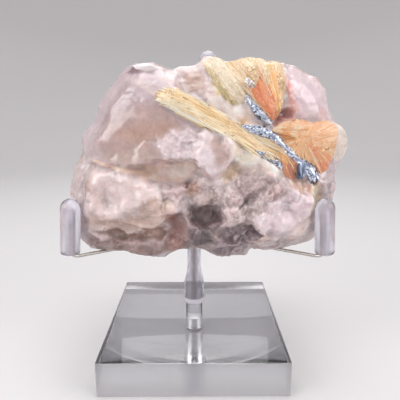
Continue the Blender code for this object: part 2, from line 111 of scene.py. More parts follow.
def linear(code):
    """The linear RGBA value of an sRGB hex code."""
    channels = [int(code[i : i + 2], 16) / 255 for i in (0, 2, 4)]
    return [c / 12.92 if c <= 0.04045 else ((c + 0.055) / 1.055) ** 2.4 for c in channels] + [1.0]


def add_node(tree, kind, inputs=None, **settings):
    """Adds a shader node with its settings. An input is a value, or another node's output to link."""
    made = tree.nodes.new("ShaderNode" + kind)
    for name, value in settings.items():
        setattr(made, name, value)
    for name, value in (inputs or {}).items():
        if isinstance(value, bpy.types.NodeSocket):
            tree.links.new(value, made.inputs[name])
        else:
            made.inputs[name].default_value = value
    return made


def start_material(name, values):
    """A new material with these values on its shader, and its node tree and shader."""
    made = bpy.data.materials.new(name)
    made.use_nodes = True
    shader = made.node_tree.nodes["Principled BSDF"]
    for socket, value in values.items():
        shader.inputs[socket].default_value = value
    return made, made.node_tree, shader


def only(*objects):
    """Selects these objects alone, and makes the last one active."""
    bpy.ops.object.select_all(action="DESELECT")
    for one in objects:
        one.select_set(True)
    bpy.context.view_layer.objects.active = objects[-1]


def apply_modifier(piece, kind, **settings):
    """Adds a modifier with these settings to the piece, and applies it."""
    step = piece.modifiers.new(kind.title(), kind)
    for name, value in settings.items():
        setattr(step, name, value)
    only(piece)
    bpy.ops.object.modifier_apply(modifier=step.name)


def finish_shape(piece, name, smooth_angle=30):
    """Names the piece, puts its place into its mesh, and smooths it up to that angle."""
    piece.name = piece.data.name = name
    only(piece)
    bpy.ops.object.transform_apply(location=True, rotation=True, scale=True)
    bpy.ops.object.shade_smooth_by_angle(angle=math.radians(smooth_angle))


def hand_over(piece, material, slot, *nodes):
    """Gives the piece its material, and puts it in the place of its CAD nodes."""
    piece.data.materials.clear()
    piece.data.materials.append(material)
    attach(piece, "root")
    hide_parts(*nodes)


only(camera)
bpy.ops.mesh.primitive_cube_add(size=1, location=(0, 0, BASE_HEIGHT / 2 * MM))
base = bpy.context.object
base.scale = Vector((BASE_SIDE, BASE_SIDE, BASE_HEIGHT)) * MM
bpy.ops.object.transform_apply(location=True, rotation=True, scale=True)
apply_modifier(base, "BEVEL", width=BASE_EDGE * MM, segments=3, limit_method="ANGLE")
only(base)
bpy.ops.mesh.primitive_cylinder_add(
    vertices=64, radius=SOCKET_RADIUS * MM, depth=2 * (BASE_HEIGHT - SOCKET_FLOOR) * MM,
    location=(0, 0, BASE_HEIGHT * MM),
)
socket = bpy.context.object
apply_modifier(base, "BOOLEAN", object=socket, operation="DIFFERENCE", solver="EXACT")
bpy.data.objects.remove(socket)
finish_shape(base, "acrylic_block")

# Cast acrylic is as clear as glass. The milled sides are satin, so what is behind them shows as a soft glow.
acrylic, tree, shader = start_material(
    "cast acrylic, polished and milled",
    {"Base Color": linear(ACRYLIC), "IOR": IOR_ACRYLIC, "Transmission Weight": 1.0},
)
place = add_node(tree, "TexCoord").outputs["Object"]
apart = add_node(tree, "SeparateXYZ", {0: place})
away_x = add_node(tree, "Math", {0: apart.outputs["X"]}, operation="ABSOLUTE")
away_y = add_node(tree, "Math", {0: apart.outputs["Y"]}, operation="ABSOLUTE")
furthest = add_node(tree, "Math", {0: away_x.outputs[0], 1: away_y.outputs[0]}, operation="MAXIMUM")
side_at = (BASE_SIDE / 2 - SATIN_DEPTH) * MM
on_side = add_node(tree, "Math", {0: furthest.outputs[0], 1: side_at}, operation="GREATER_THAN")
# Mill marks run up the sides. The real ones are finer than half a millimetre, which the render would lose.
upright = add_node(tree, "Mapping", {0: place, "Scale": (1, 1, 0.04)})
marks = add_node(tree, "TexNoise", {0: upright.outputs[0], "Scale": 1 / (MILL_MARK * MM), "Detail": 3.0})
satin = add_node(tree, "MapRange", {0: marks.outputs[0], "To Min": 0.3, "To Max": 0.36})
rough = add_node(tree, "MapRange", {0: on_side.outputs[0], "To Min": 0.012, "To Max": satin.outputs[0]})
# The drill leaves the hole's wall and the glued end of the rod frosted
flat = add_node(tree, "CombineXYZ", {0: apart.outputs["X"], 1: apart.outputs["Y"]})
from_axis = add_node(tree, "VectorMath", {0: flat.outputs[0]}, operation="LENGTH")
near_axis = add_node(
    tree, "Math", {0: from_axis.outputs["Value"], 1: (SOCKET_RADIUS + GLUE_WIDTH) * MM}, operation="LESS_THAN"
)
below_top = add_node(
    tree, "Math", {0: apart.outputs["Z"], 1: (BASE_HEIGHT - SATIN_DEPTH) * MM}, operation="LESS_THAN"
)
glued = add_node(tree, "Math", {0: near_axis.outputs[0], 1: below_top.outputs[0]}, operation="MULTIPLY")
frosted = add_node(tree, "Math", {0: glued.outputs[0], 1: 0.3}, operation="MULTIPLY")
rough = add_node(tree, "Math", {0: rough.outputs[0], 1: frosted.outputs[0]}, operation="MAXIMUM")
tree.links.new(rough.outputs[0], shader.inputs["Roughness"])
relief = add_node(tree, "Math", {0: marks.outputs[0], 1: on_side.outputs[0]}, operation="MULTIPLY")
bump = add_node(tree, "Bump", {"Strength": 0.03, "Distance": 0.05 * MM, "Height": relief.outputs[0]})
tree.links.new(bump.outputs[0], shader.inputs["Normal"])
hand_over(base, acrylic, "acrylic", "acrylic_base")

# The rod
# A length of quarter inch cast acrylic rod, polished, glued in the block's hole. Its top is drilled down
# the middle to take the feet of the three wires.
POST_RADIUS = 3.175
POST_TOP = 26.5
WIRE_RADIUS = 0.55
WIRE_CLEARANCE = 0.3
WIRE_CIRCLE = (2 * WIRE_RADIUS + WIRE_CLEARANCE) / math.sqrt(3)
WIRE_BORE = WIRE_CIRCLE + WIRE_RADIUS + WIRE_CLEARANCE
WIRE_FOOT = 19.0
ROD_SIDES = 64


def draw_up(name, profile, sides):
    """A round piece about Z, drawn up ring by ring from its (radius, height) pairs, and closed."""
    radius, height = profile[0]
    only(camera)
    bpy.ops.mesh.primitive_circle_add(vertices=sides, radius=radius * MM, location=(0, 0, height * MM))
    piece = bpy.context.object
    bpy.ops.object.mode_set(mode="EDIT")
    bpy.ops.mesh.select_all(action="SELECT")
    for next_radius, next_height in profile[1:]:
        rise = (0, 0, (next_height - height) * MM)
        bpy.ops.mesh.extrude_region_move(TRANSFORM_OT_translate={"value": rise})
        share = next_radius / radius
        middle = (0, 0, next_height * MM)
        bpy.ops.transform.resize(value=(share, share, 1), center_override=middle)
        radius, height = next_radius, next_height
    bpy.ops.mesh.select_all(action="SELECT")
    bpy.ops.mesh.remove_doubles(threshold=0.004 * MM)
    bpy.ops.mesh.normals_make_consistent(inside=False)
    bpy.ops.object.mode_set(mode="OBJECT")
    piece.name = name
    only(piece)
    bpy.ops.object.transform_apply(location=True, rotation=True, scale=True)
    return piece


NEARLY_NOTHING = 0.001
rod_foot = SOCKET_FLOOR + WIRE_CLEARANCE
bore_floor = WIRE_FOOT - WIRE_CLEARANCE
rod = draw_up(
    "acrylic_rod",
    [(NEARLY_NOTHING, rod_foot), (POST_RADIUS - 0.3, rod_foot), (POST_RADIUS, rod_foot + 0.3),
     (POST_RADIUS, POST_TOP - 0.4), (POST_RADIUS - 0.12, POST_TOP - 0.12), (POST_RADIUS - 0.4, POST_TOP),
     (WIRE_BORE, POST_TOP), (WIRE_BORE, bore_floor), (NEARLY_NOTHING, bore_floor)],
    ROD_SIDES,
)
finish_shape(rod, "acrylic_rod", 40)
hand_over(rod, acrylic, "acrylic", "acrylic_post")

# The sleeve
# A piece of clear vinyl tube, warmed and stretched over the rod's top, where it narrows and grips the wires.
# Its lower end is cut square and rolled thick, and that cut ring is cloudy white.
SLEEVE_BOTTOM = 18.4
SLEEVE_RING = 2.3
SLEEVE_SHOULDER = 27.2
SLEEVE_NECK = 32.6
SLEEVE_TOP = 43.6
SLEEVE_FLARE = 3.95
SLEEVE_WAIST = 2.5
VINYL = "F3F0FA"
VINYL_CLOUD = "E9E5EE"
IOR_VINYL = 1.53

inner = POST_RADIUS + 0.1
sleeve = draw_up(
    "sleeve",
    [(inner, SLEEVE_BOTTOM + 0.2), (SLEEVE_FLARE - 0.45, SLEEVE_BOTTOM),
     (SLEEVE_FLARE - 0.1, SLEEVE_BOTTOM + 0.35), (SLEEVE_FLARE, SLEEVE_BOTTOM + 1.0),
     (SLEEVE_FLARE, SLEEVE_BOTTOM + SLEEVE_RING), (SLEEVE_FLARE - 0.12, SLEEVE_BOTTOM + SLEEVE_RING + 0.4),
     (SLEEVE_FLARE - 0.15, SLEEVE_SHOULDER - 0.6), (SLEEVE_FLARE - 0.4, SLEEVE_SHOULDER + 0.6),
     (SLEEVE_FLARE - 0.75, SLEEVE_SHOULDER + 1.8), (SLEEVE_WAIST + 0.35, SLEEVE_NECK - 1.6),
     (SLEEVE_WAIST + 0.08, SLEEVE_NECK), (SLEEVE_WAIST, SLEEVE_NECK + 1.2),
     (SLEEVE_WAIST, SLEEVE_TOP - 0.4), (SLEEVE_WAIST - 0.1, SLEEVE_TOP - 0.1),
     (SLEEVE_WAIST - 0.35, SLEEVE_TOP), (WIRE_BORE, SLEEVE_TOP - 0.1), (WIRE_BORE, SLEEVE_NECK),
     (inner - 0.9, SLEEVE_SHOULDER + 1.4), (inner - 0.1, SLEEVE_SHOULDER + 0.2),
     (inner, SLEEVE_SHOULDER - 0.6), (inner, SLEEVE_BOTTOM + 0.2)],
    ROD_SIDES,
)
finish_shape(sleeve, "vinyl_sleeve", 50)

# Flexible clear PVC is softer looking than acrylic: a little cloudy, with a dull skin and faint draw lines.
# The clouds are about 4.5 mm wide and the lines 0.7 mm, coarser than real ones, so that they show.
vinyl, tree, shader = start_material(
    "clear flexible PVC, dipped",
    {"IOR": IOR_VINYL, "Subsurface Weight": 1.0, "Subsurface Radius": (1.0, 1.0, 1.0),
     "Subsurface Scale": 1.0 * MM},
)
place = add_node(tree, "TexCoord").outputs["Object"]
height = add_node(tree, "SeparateXYZ", {0: place}).outputs["Z"]
ring_from, ring_to = SLEEVE_BOTTOM + SLEEVE_RING - 0.2, SLEEVE_BOTTOM + SLEEVE_RING + 0.1
clear = add_node(tree, "MapRange", {0: height, "From Min": ring_from * MM, "From Max": ring_to * MM})
cloud = add_node(tree, "TexNoise", {0: place, "Scale": 220.0, "Detail": 2.0})
tone = add_node(
    tree, "Mix", {"Factor": clear.outputs[0], "A": linear(VINYL_CLOUD), "B": linear(VINYL)}, data_type="RGBA"
)
tree.links.new(tone.outputs["Result"], shader.inputs["Base Color"])
veil = add_node(tree, "MapRange", {0: cloud.outputs[0], "To Min": 0.8, "To Max": 0.92})
passing = add_node(tree, "MapRange", {0: clear.outputs[0], "To Min": 0.05, "To Max": veil.outputs[0]})
tree.links.new(passing.outputs[0], shader.inputs["Transmission Weight"])
skin = add_node(tree, "MapRange", {0: cloud.outputs[0], "To Min": 0.05, "To Max": 0.14})
tree.links.new(skin.outputs[0], shader.inputs["Roughness"])
drawn = add_node(tree, "Mapping", {0: place, "Scale": (1, 1, 0.08)})
lines = add_node(tree, "TexNoise", {0: drawn.outputs[0], "Scale": 1400.0, "Detail": 2.0})
bump = add_node(tree, "Bump", {"Strength": 0.04, "Distance": 0.06 * MM, "Height": lines.outputs[0]})
tree.links.new(bump.outputs[0], shader.inputs["Normal"])
hand_over(sleeve, vinyl, "vinyl", "post_sleeve")

# The wire arms
# Three straight lengths of 1.1 mm stainless spring wire, bent cold with pliers: out from the rod under the
# stone, then up into the tips. They can be bent by hand to fit another stone.
ARM_HEIGHT = 45.6
ARM_BEND = 3.0
WIRE_INTO_TIP = 11.0
TIPS = {
    "left": (Vector((-40.1, -21.6, 45.9)), Vector((0.07, 0.0, 1.0)).normalized()),
    "right": (Vector((42.9, -21.6, 45.8)), Vector((-0.06, 0.0, 1.0)).normalized()),
    "back": (Vector((4.3, 11.0, 94.2)), Vector((0.06, 0.06, 1.0)).normalized()),
}
ARM_TURNS = {"left": 210, "right": 330, "back": 90}
ARM_WAYS = {"left": [], "right": [], "back": [Vector((1.2, 11.8, 47.0)), Vector((2.4, 10.6, 68.0))]}
STEEL = "C6C0B8"


def rounded_path(corners, radius, steps=8):
    """A path through the corners, with each inner corner made an arc of that radius or less."""
    path = [corners[0]]
    for before, corner, after in zip(corners, corners[1:], corners[2:]):
        back, ahead = (before - corner).normalized(), (after - corner).normalized()
        half = back.angle(ahead) / 2
        reach = min(radius / math.tan(half), 0.45 * (before - corner).length, 0.45 * (after - corner).length)
        for t in np.linspace(0, 1, steps + 1):
            start, end = corner + back * reach, corner + ahead * reach
            path.append(start.lerp(corner, t).lerp(corner.lerp(end, t), t))
    return path + [corners[-1]]


# Drawn wire has a warm grey shine, with scratches of about 0.4 mm, coarser than real ones, so that they show.
steel, tree, shader = start_material(
    "stainless spring wire, drawn", {"Base Color": linear(STEEL), "Metallic": 1.0, "Roughness": 0.26}
)
place = add_node(tree, "TexCoord").outputs["Object"]
scratches = add_node(tree, "TexNoise", {0: place, "Scale": 2500.0, "Detail": 2.0})
shine = add_node(tree, "MapRange", {0: scratches.outputs[0], "To Min": 0.16, "To Max": 0.36})
tree.links.new(shine.outputs[0], shader.inputs["Roughness"])
bump = add_node(tree, "Bump", {"Strength": 0.1, "Distance": 0.01 * MM, "Height": scratches.outputs[0]})
tree.links.new(bump.outputs[0], shader.inputs["Normal"])

for side, (tip, aim) in TIPS.items():
    turn = math.radians(ARM_TURNS[side])
    foot = Vector((WIRE_CIRCLE * math.cos(turn), WIRE_CIRCLE * math.sin(turn), WIRE_FOOT))
    top = Vector((foot.x, foot.y, ARM_HEIGHT))
    path = rounded_path([foot, top, *ARM_WAYS[side], tip - aim * 1.4, tip + aim * WIRE_INTO_TIP], ARM_BEND)
    only(camera)
    bpy.ops.curve.primitive_nurbs_path_add()
    wire = bpy.context.object
    wire.location = (0, 0, 0)
    wire.data.splines.clear()
    line = wire.data.splines.new("POLY")
    line.points.add(len(path) - 1)
    for point, where in zip(line.points, path):
        point.co = (*(where * MM), 1.0)
    wire.data.bevel_depth = WIRE_RADIUS * MM
    wire.data.bevel_resolution = 6
    wire.data.use_fill_caps = True
    only(wire)
    bpy.ops.object.convert(target="MESH")
    bpy.ops.object.mode_set(mode="EDIT")
    bpy.ops.mesh.select_all(action="SELECT")
    bpy.ops.mesh.remove_doubles(threshold=0.002 * MM)
    bpy.ops.mesh.normals_make_consistent(inside=False)
    bpy.ops.object.mode_set(mode="OBJECT")
    finish_shape(wire, f"steel_wire_{side}", 40)
    hand_over(wire, steel, "steel", f"wire_arm_{side}")

# The soft tips
# Dipped vinyl caps pushed over the wires' ends, so that the steel doesn't scratch the stone. Each is a
# round-ended plug with a bore that stops short of its end, and the wire shows through it.
TIP_RADIUS = 3.2
TIP_LENGTH = 18.4
TIP_BORE = 1.0
TIP_BORE_LENGTH = 15.4
TIP_SIDES = 48

dome_steps = np.linspace(0, math.pi / 2, 9)
dome_base = TIP_LENGTH - TIP_RADIUS
dome = [
    (max(TIP_RADIUS * math.cos(a), NEARLY_NOTHING), dome_base + TIP_RADIUS * math.sin(a)) for a in dome_steps
]
tip_profile = [
    (NEARLY_NOTHING, TIP_BORE_LENGTH), (TIP_BORE * 0.7, TIP_BORE_LENGTH - 0.25),
    (TIP_BORE, TIP_BORE_LENGTH - 0.8), (TIP_BORE, 0.25), (TIP_BORE + 0.25, 0), (TIP_RADIUS - 0.7, 0),
    (TIP_RADIUS - 0.2, 0.2), (TIP_RADIUS, 0.75), *dome,
]
for side, (foot, aim) in TIPS.items():
    cap = draw_up("cap", tip_profile, TIP_SIDES)
    cap.location = foot * MM
    cap.rotation_euler = aim.to_track_quat("Z", "Y").to_euler()
    finish_shape(cap, f"vinyl_tip_{side}", 50)
    hand_over(cap, vinyl, "vinyl", f"wire_tip_{side}")

# The quartz
# One broken lump of milky quartz: a glassy block at the upper left over a ledge, and below it a crumbling
# mass of grains stained by iron. A break has no construction lines, so the CAD copy is remeshed by the
# modifiers and its points are then moved in code, by named areas of the face and by cells of noise.
STONE_CENTRE = Vector((5.0, -7.0, 75.2))
STONE_LEAN = math.radians(7.25)
CRYSTAL_NODES = [
    "rutile_bundle_long", "rutile_bundle_top", "rutile_fan_upper", "rutile_fan_right", "rutile_fan_lower",
    "hematite_tuft", "hematite_blade", "hematite_vein", "hematite_seam",
]
POCKET_FILL = 0.47
QUARTZ_VOXEL = 0.49
HOLDER_GAP = 0.25
HOLDER_REACH = 3.0
FREE_ROOM = 9.0

# Steps that the break adds to the CAD form: outline (x, z) on the face, height out of it, width of the edge
FACE_STEPS = {
    "under the ledge": (
        [(-37, -1.2), (-31, -3), (-25, -4.2), (-20, -3.4), (-14, -1.4), (-4.5, -1), (-2, -5), (-7, -9),
         (-15, -8), (-21, -6.6), (-30, -4)],
        0.5, 1.6,
    ),
    "white mass": (
        [(-37, -3), (-30.5, -4), (-21.5, -6.4), (-16, -8.8), (-15, -12), (-19, -13.5), (-26.5, -17.5),
         (-30.5, -19.5), (-36.5, -17.5), (-39, -12)],
        0.6, 2.6,
    ),
    "middle lump": (
        [(-3.5, 7.5), (-1, 9), (3.5, 8.5), (7.5, 4.5), (9, 2), (8.5, -0.5), (5.5, -3), (4, -6), (1, -6),
         (-0.5, -4.6), (-2, -3.5), (-4, -2.5), (-4, 2.5)],
        0.9, 1.2,
    ),
    "pale sub lump": ([(-13, -8), (-8, -7), (-6.5, -11.5), (-10, -14.5), (-13.5, -12)], 1.0, 2.0),
    "dark tooth": ([(9.5, -15.5), (12, -12), (15, -11), (15.5, -12.5), (12.5, -14.5)], -0.8, 1.6),
    "dark notch": ([(12.5, -22.5), (16, -22.5), (16, -25), (14, -25)], -0.8, 1.6),
    "lump between the pits": ([(4, -16), (9, -15), (11, -20), (7, -23), (3.5, -22), (5, -19)], 1.0, 1.6),
    "brown ledge": (
        [(-37.5, -23.5), (-31, -22.5), (-27, -24.5), (-24, -25), (-20, -22.5), (-15.5, -22), (-13, -24),
         (-15.5, -26.5), (-25, -27.5), (-31.5, -25.5)],
        -1.2, 1.2,
    ),
    "lower right mass": (
        [(18, -14.5), (21, -13), (27.5, -12), (31.5, -14.5), (31.5, -19.5), (27.5, -24), (20.5, -24.5),
         (16, -21.5)],
        0.8, 2.2,
    ),
    "pit triangle": ([(20, 10), (22, 14), (25.5, 16.5), (28, 16.5), (28, 13), (24.5, 10.5), (21.5, 9)],
                     0.3, 1.6),
    "yellow haze": ([(6.5, 6.5), (11, 4.2), (16.5, 1), (14.5, -2.5), (9.5, -3), (7, 0.5)], 2.0, 2.6),
    "yellow stain": ([(33.5, -6.5), (38.5, -7), (38.5, -10.5), (35, -11.5), (33, -15), (31, -14)], 2.5, 2.6),
}

# How the quartz is coloured, its own colours with some painted shade among them: outline on the face, colour,
# how strongly, and the width of the soft edge
TINTS = {
    "block": ([(-40, 12), (-30.5, 24), (-25, 30), (-15, 29), (-8, 22), (0, 10), (-1, 0), (-14, -1.2),
               (-25, -4), (-36, -1)], "D3C6CB", 0.9, 3.0),
    # The glassy block's core and its warm band are darker and warmer: painted shadow inside the block
    "block core": ([(-31, 11.5), (-23, 15.5), (-15, 16.5), (-8, 11), (-7, 7.5), (-15, 5.5), (-18.5, 0),
                    (-25.5, -3), (-32.5, -0.5), (-35.5, 3)], "CBB5AE", 0.85, 6.0),
    "block warm band": ([(-28, 8), (-21.5, 9.5), (-12.5, 10.5), (-9.5, 7.5), (-15, 5), (-24.5, 5)],
                        "CFAE9C", 0.6, 5.0),
    "block foot": ([(-33, 1.5), (-15, 3), (-12, 0), (-18.5, -1), (-25.5, -3.2), (-33, -0.5)],
                   "CDBDB4", 0.8, 3.5),
    # The top facet faces the light above and is painted dark: its mauve, with painted shade over it
    "top facet": ([(-25, 29), (-18.5, 29.5), (-15.5, 28), (-17.5, 26), (-22, 26.5), (-26, 27)],
                  "8A7076", 0.95, 1.6),
    "pale left rim of the block": ([(-41, 9.5), (-37.5, 10), (-37, 4), (-38, -2), (-40.5, -1), (-41, 5.5)],
                                   "D8CCCF", 0.7, 1.8),
    "pink white beside the block": ([(-16.5, 25), (-9, 28.5), (-2, 29.5), (1, 24), (-1, 19.5), (-6.5, 21.5),
                                     (-12.5, 22)], "DFD0CF", 0.9, 2.0),
    "beige window": ([(-7.5, 26.5), (-3, 27), (-1, 21.5), (-5.5, 20.5), (-8, 23)], "C6AE9F", 0.8, 1.8),
    "chamfer of the block": ([(-36.5, 5), (-33.5, 12), (-29, 19), (-26.5, 23.5), (-24, 22.5), (-27, 16),
                              (-31, 9), (-33, 4.5)], "B9A6A6", 0.6, 2.6),
    "veil": ([(-23.5, 23.5), (-22.5, 24.5), (-18, 21.5), (-14, 19.8), (-14, 17.5), (-19, 20)],
             "EBE0DC", 0.8, 1.4),
    "frosted patch": ([(-16.5, 5), (-13.5, 7), (-11.5, 8.5), (-6, 9), (-2, 7.5), (-1.5, 3), (-3.5, -0.5),
                       (-8, -1), (-14, -0.5)], "E2D8DB", 0.9, 2.0),
    "tan face under the ledge": ([(-25.5, -4.2), (-22, -3.4), (-14, -1.6), (-4.5, -1), (-4, -4), (-8.5, -8),
                                  (-15.5, -7.5), (-20, -6.5)], "FBE6DA", 0.95, 1.4),
    "orange end of the tan face": ([(-25.5, -4), (-22, -3), (-17.5, -3), (-17.5, -5.5), (-21, -5.8)],
                                   "FFE8D4", 0.95, 2.6),
    "white mass": ([(-37, -3), (-30, -4), (-21.5, -6.2), (-16, -8.5), (-15, -12), (-19, -13), (-26.5, -17.5),
                    (-30.5, -19.5), (-36.5, -17.5), (-38.5, -12)], "ECE0DE", 0.95, 2.2),
    "left flank": ([(-42.5, -2), (-37.5, -2.5), (-38.5, -10), (-37.5, -15), (-44, -13.5), (-44.5, -7.5)],
                   "D6CACA", 0.9, 1.8),
    "left flank stain": ([(-41, -7.5), (-37.5, -7), (-36.5, -10.5), (-40, -12)], "B79C92", 0.8, 2.2),
    "pale sub lump": ([(-13, -8), (-8, -7), (-6.5, -11.5), (-10, -14.5), (-13.5, -12)], "C9B7B7", 0.9, 1.6),
    "rust spots": ([(-7.5, -8), (-3.5, -8), (-2.5, -10), (-5.5, -11.5), (-7.5, -11)], "9E6E48", 0.7, 2.4),
    "olive spot": ([(-15.5, -13), (-13, -12.5), (-13.5, -14.5), (-15.5, -15.5)], "5E4A2C", 1.0, 1.8),
    "beige belt": ([(-40, -17.5), (-30.5, -20), (-21.5, -16.5), (-15, -12.5), (-10, -15), (-13.5, -20),
                    (-18.5, -23.5), (-28, -24), (-39, -21.5)], "DAC5B8", 0.9, 2.4),
    "brown ledge": ([(-37.5, -23.5), (-31, -22.5), (-27, -24.5), (-24, -25), (-20, -22.5), (-15.5, -22),
                     (-13, -24), (-15.5, -26.5), (-25, -27.5), (-31.5, -25.5)], "A28270", 0.8, 2.0),
    # The foot under the stone is its own pink, darkened by painted shade
    "pink foot": ([(-39, -25.5), (-31, -26), (-24, -28), (-13.5, -27), (-12, -30), (-19, -33), (-28.5, -33),
                   (-40, -30)], "9A827C", 0.9, 1.8),
    "red brown pit": ([(-13.5, -18.5), (-10, -17), (-7.5, -20), (-6.5, -23.5), (-6.5, -28.5), (-10, -31),
                       (-14, -29.5), (-13, -23)], "985F50", 0.8, 3.8),
    "smoke around the pits": ([(-8, -12), (-3, -13), (1, -10), (9, -13), (14, -15), (15.5, -24), (14, -33),
                               (-8, -34), (-9, -22)], "A3928F", 0.5, 6.0),
    "smoky pit": ([(-6.5, -17.2), (-1, -16.4), (3.2, -17.6), (4.6, -20), (2.2, -23), (-3, -23.6),
                   (-6.3, -22.6), (-5.6, -20)], "7A686A", 0.85, 1.6),
    "smoky belt": ([(-6.5, -23.5), (-1.5, -22.5), (1.5, -24), (1, -27.5), (-4, -28.5), (-6.5, -27)],
                   "3E3237", 0.85, 3.2),
    "smoky foot": ([(2.5, -25), (5.5, -22.5), (12, -21), (16, -23), (16, -26.5), (12, -30), (7.5, -33),
                    (0, -33)], "8C7E83", 0.85, 3.4),
    "lump between the pits": ([(4, -16), (9, -15), (11, -20), (7, -23), (3.5, -22), (5, -19)],
                              "CDBFBE", 0.8, 1.6),
    "dark tooth": ([(9.5, -15.5), (12, -12), (15, -11), (15.5, -12.5), (12.5, -14.5)], "4C3C3A", 0.8, 2.0),
    "dark notch": ([(12.5, -22.5), (16, -22.5), (16, -25), (14, -25)], "6C5A66", 0.85, 1.8),
    "middle lump": ([(-3.5, 7.5), (-1, 9), (3.5, 8.5), (7.5, 4.5), (9, 2), (8.5, -0.5), (5.5, -3), (4, -6),
                     (1, -6), (-3, -2.5), (-4, 2.5)], "EAE0E2", 0.95, 1.0),
    "lump core": ([(0.5, 6), (4.5, 6.5), (6.5, 3), (6, -0.5), (3, -3), (1, -0.5)], "CFB8B0", 0.8, 2.0),
    "lump left tooth": ([(-3.8, 2.5), (0.6, 2.5), (0.8, -3), (0, -5), (-2, -3.5), (-4, -2.5)],
                        "ECE4E8", 0.9, 0.9),
    "amber under the lump": ([(4, -5.5), (7, -2.5), (10, -2), (11.5, -3), (8.5, -5.5), (4.5, -8)],
                             "E6CFAA", 0.75, 3.2),
    "yellow haze": ([(7.5, 5.5), (11.5, 3.5), (16.5, 0), (14.5, -2.5), (9.5, -3), (7, 0.5)],
                    "FFF2E2", 0.9, 2.4),
    "pale shelf": ([(9.5, -2), (16.5, -0.5), (22, -3), (24, -6), (17.5, -5.5), (11, -4.5)],
                   "FBF0E8", 0.9, 1.8),
    "crumbly quartz": ([(9.5, -4.5), (19, -5.5), (22.5, -8.5), (27, -10.5), (25.5, -15), (16.5, -14.5),
                        (11, -13), (6, -12)], "B09D9C", 0.8, 2.6),
    "lower right mass": ([(18, -14.5), (21, -12), (27.5, -9), (32.5, -12), (32.5, -19.5), (27.5, -25),
                          (20.5, -26), (16, -21.5)], "E4D9DE", 0.95, 2.2),
    "mauve hollow": ([(19, -10), (23.5, -9.5), (25.5, -12), (22, -13), (18.5, -12.5)], "A08886", 0.7, 1.6),
    "peach haze": ([(23.5, -4), (27.5, -7), (32.5, -8.5), (35, -12), (30.5, -10.5), (25.5, -8)],
                   "F0CDB6", 0.8, 2.4),
    "yellow stain": ([(33, -8.5), (37, -9), (36.5, -15.5), (33.5, -18), (31.5, -16.5), (33, -14)],
                     "FFF4DC", 1.0, 2.0),
    "ochre fringe": ([(25, -23), (30.5, -19), (33, -16.5), (34.5, -20.5), (29.5, -26), (25.5, -26.5)],
                     "EDDCD2", 0.6, 1.8),
    "right rim": ([(24.5, 28.5), (27.5, 29), (30.5, 27.5), (34, 26), (40, 20), (41, 13), (34, 11), (28.5, 12),
                   (27, 16), (25, 21)], "E8DADF", 0.95, 1.4),
    "red line": ([(23.3, 26.5), (24.2, 26.5), (25.8, 22), (27.2, 16.5), (27.5, 14.5), (25.4, 16.5),
                  (24, 21)], "F0B6AA", 0.8, 1.3),
    "pink seam on the rim": ([(34.5, 15), (36, 16), (38, 14.5), (37.5, 10.5), (35, 11)], "F2CAC2", 0.7, 2.2),
    "pit triangle": ([(20, 9.6), (21.2, 12.1), (23, 14.2), (25.4, 15.9), (27.5, 14.2), (27.6, 12.1),
                      (24.9, 11.4), (22.1, 9.8)], "C4928B", 0.95, 0.8),
    "knob": ([(39.5, 11.5), (43, 11), (47, 6.5), (46, 1), (41, -1), (40, 5)], "E8E0D4", 0.9, 1.4),
    "right flank": ([(39.5, -0.5), (44, -0.5), (44, -14), (36, -12), (35.5, -7), (38.5, -4.5)],
                    "CCC0C3", 0.9, 1.6),
    "lumps by the fans": ([(-1, 19.5), (4, 20.5), (9.5, 19), (12, 16.5), (13.5, 12.5), (11.5, 9.5),
                           (6.5, 10.5), (1.5, 14)], "FAF0EA", 0.9, 1.8),
    "straw haze by the fans": ([(8.5, 12.5), (12, 12.5), (14, 9.5), (11, 7.5), (8, 9.5)],
                               "DFBB8C", 0.75, 2.4),
    "crest": ([(-3, 31), (-1, 34), (3, 34), (6.5, 32), (4, 29), (-1.5, 28)], "E4D2C0", 0.85, 1.4),
    "under the long bundle": ([(-16, 19.4), (-10, 21.2), (-7.5, 20.5), (-3, 18), (1.5, 14.5), (5, 11.5),
                               (9.5, 8), (14.5, 3.5), (19, 0.5), (17.8, 0.2), (14, 1.4), (10.6, 3),
                               (6.6, 5.6), (4, 8), (1, 8.5), (-3, 9.8), (-7.5, 12), (-12.5, 15.5),
                               (-15.5, 17)], "E6CB96", 1.0, 0.8),
    "golden end": ([(11, 7.5), (16.5, 5.5), (22.5, 3), (25, 0), (24, -2.5), (19.5, 0), (15, 2.5)],
                   "DDB07A", 0.9, 1.2),
    "under the top bundle": ([(-1.5, 30.5), (2.5, 32), (6, 31.5), (8.5, 27), (11.5, 20.5), (9.5, 18),
                              (6, 19), (2, 19.5), (0.5, 24.5)], "EEDDB4", 1.0, 0.9),
    "under the upper fan": ([(5.5, 29.9), (9.5, 32), (16.2, 33), (20.5, 32), (24, 28.5), (23.6, 22.4),
                             (23, 17.9), (22.1, 14.2), (19.9, 12.5), (16.4, 15), (13.7, 18.2), (12.3, 20.4),
                             (11.2, 20.6), (10.2, 22), (8, 25.6), (6, 28.4)], "F0D3A2", 1.0, 0.9),
    "under the right fan": ([(20.4, 8.7), (23.1, 10.7), (25.5, 12), (29, 11.6), (32.4, 10.8), (37.7, 11.4),
                             (40, 10), (40.2, 5.6), (40, 1.8), (39, -0.6), (37.2, -3.7), (35.3, -5),
                             (34.3, -2.2), (31.1, -0.3), (28.3, 0.3), (25.7, 2.8), (23.5, 5.3), (21.2, 7.4)],
                            "DE9C66", 1.0, 0.8),
    "under the lower fan": ([(22.6, 2.5), (24.8, 2.6), (26.4, 1), (27.2, -0.6), (27.2, -6.2), (25.4, -6),
                             (23.4, -4.4), (22.6, -1.6)], "BC6450", 1.0, 0.8),
    # Under the hematite the quartz is painted dark blue-grey: painted shade in the gaps between the plates
    "under the blade": ([(11.6, 19.5), (12.6, 17.5), (14.6, 16), (17, 13.9), (19.8, 11.2), (19.2, 9.9),
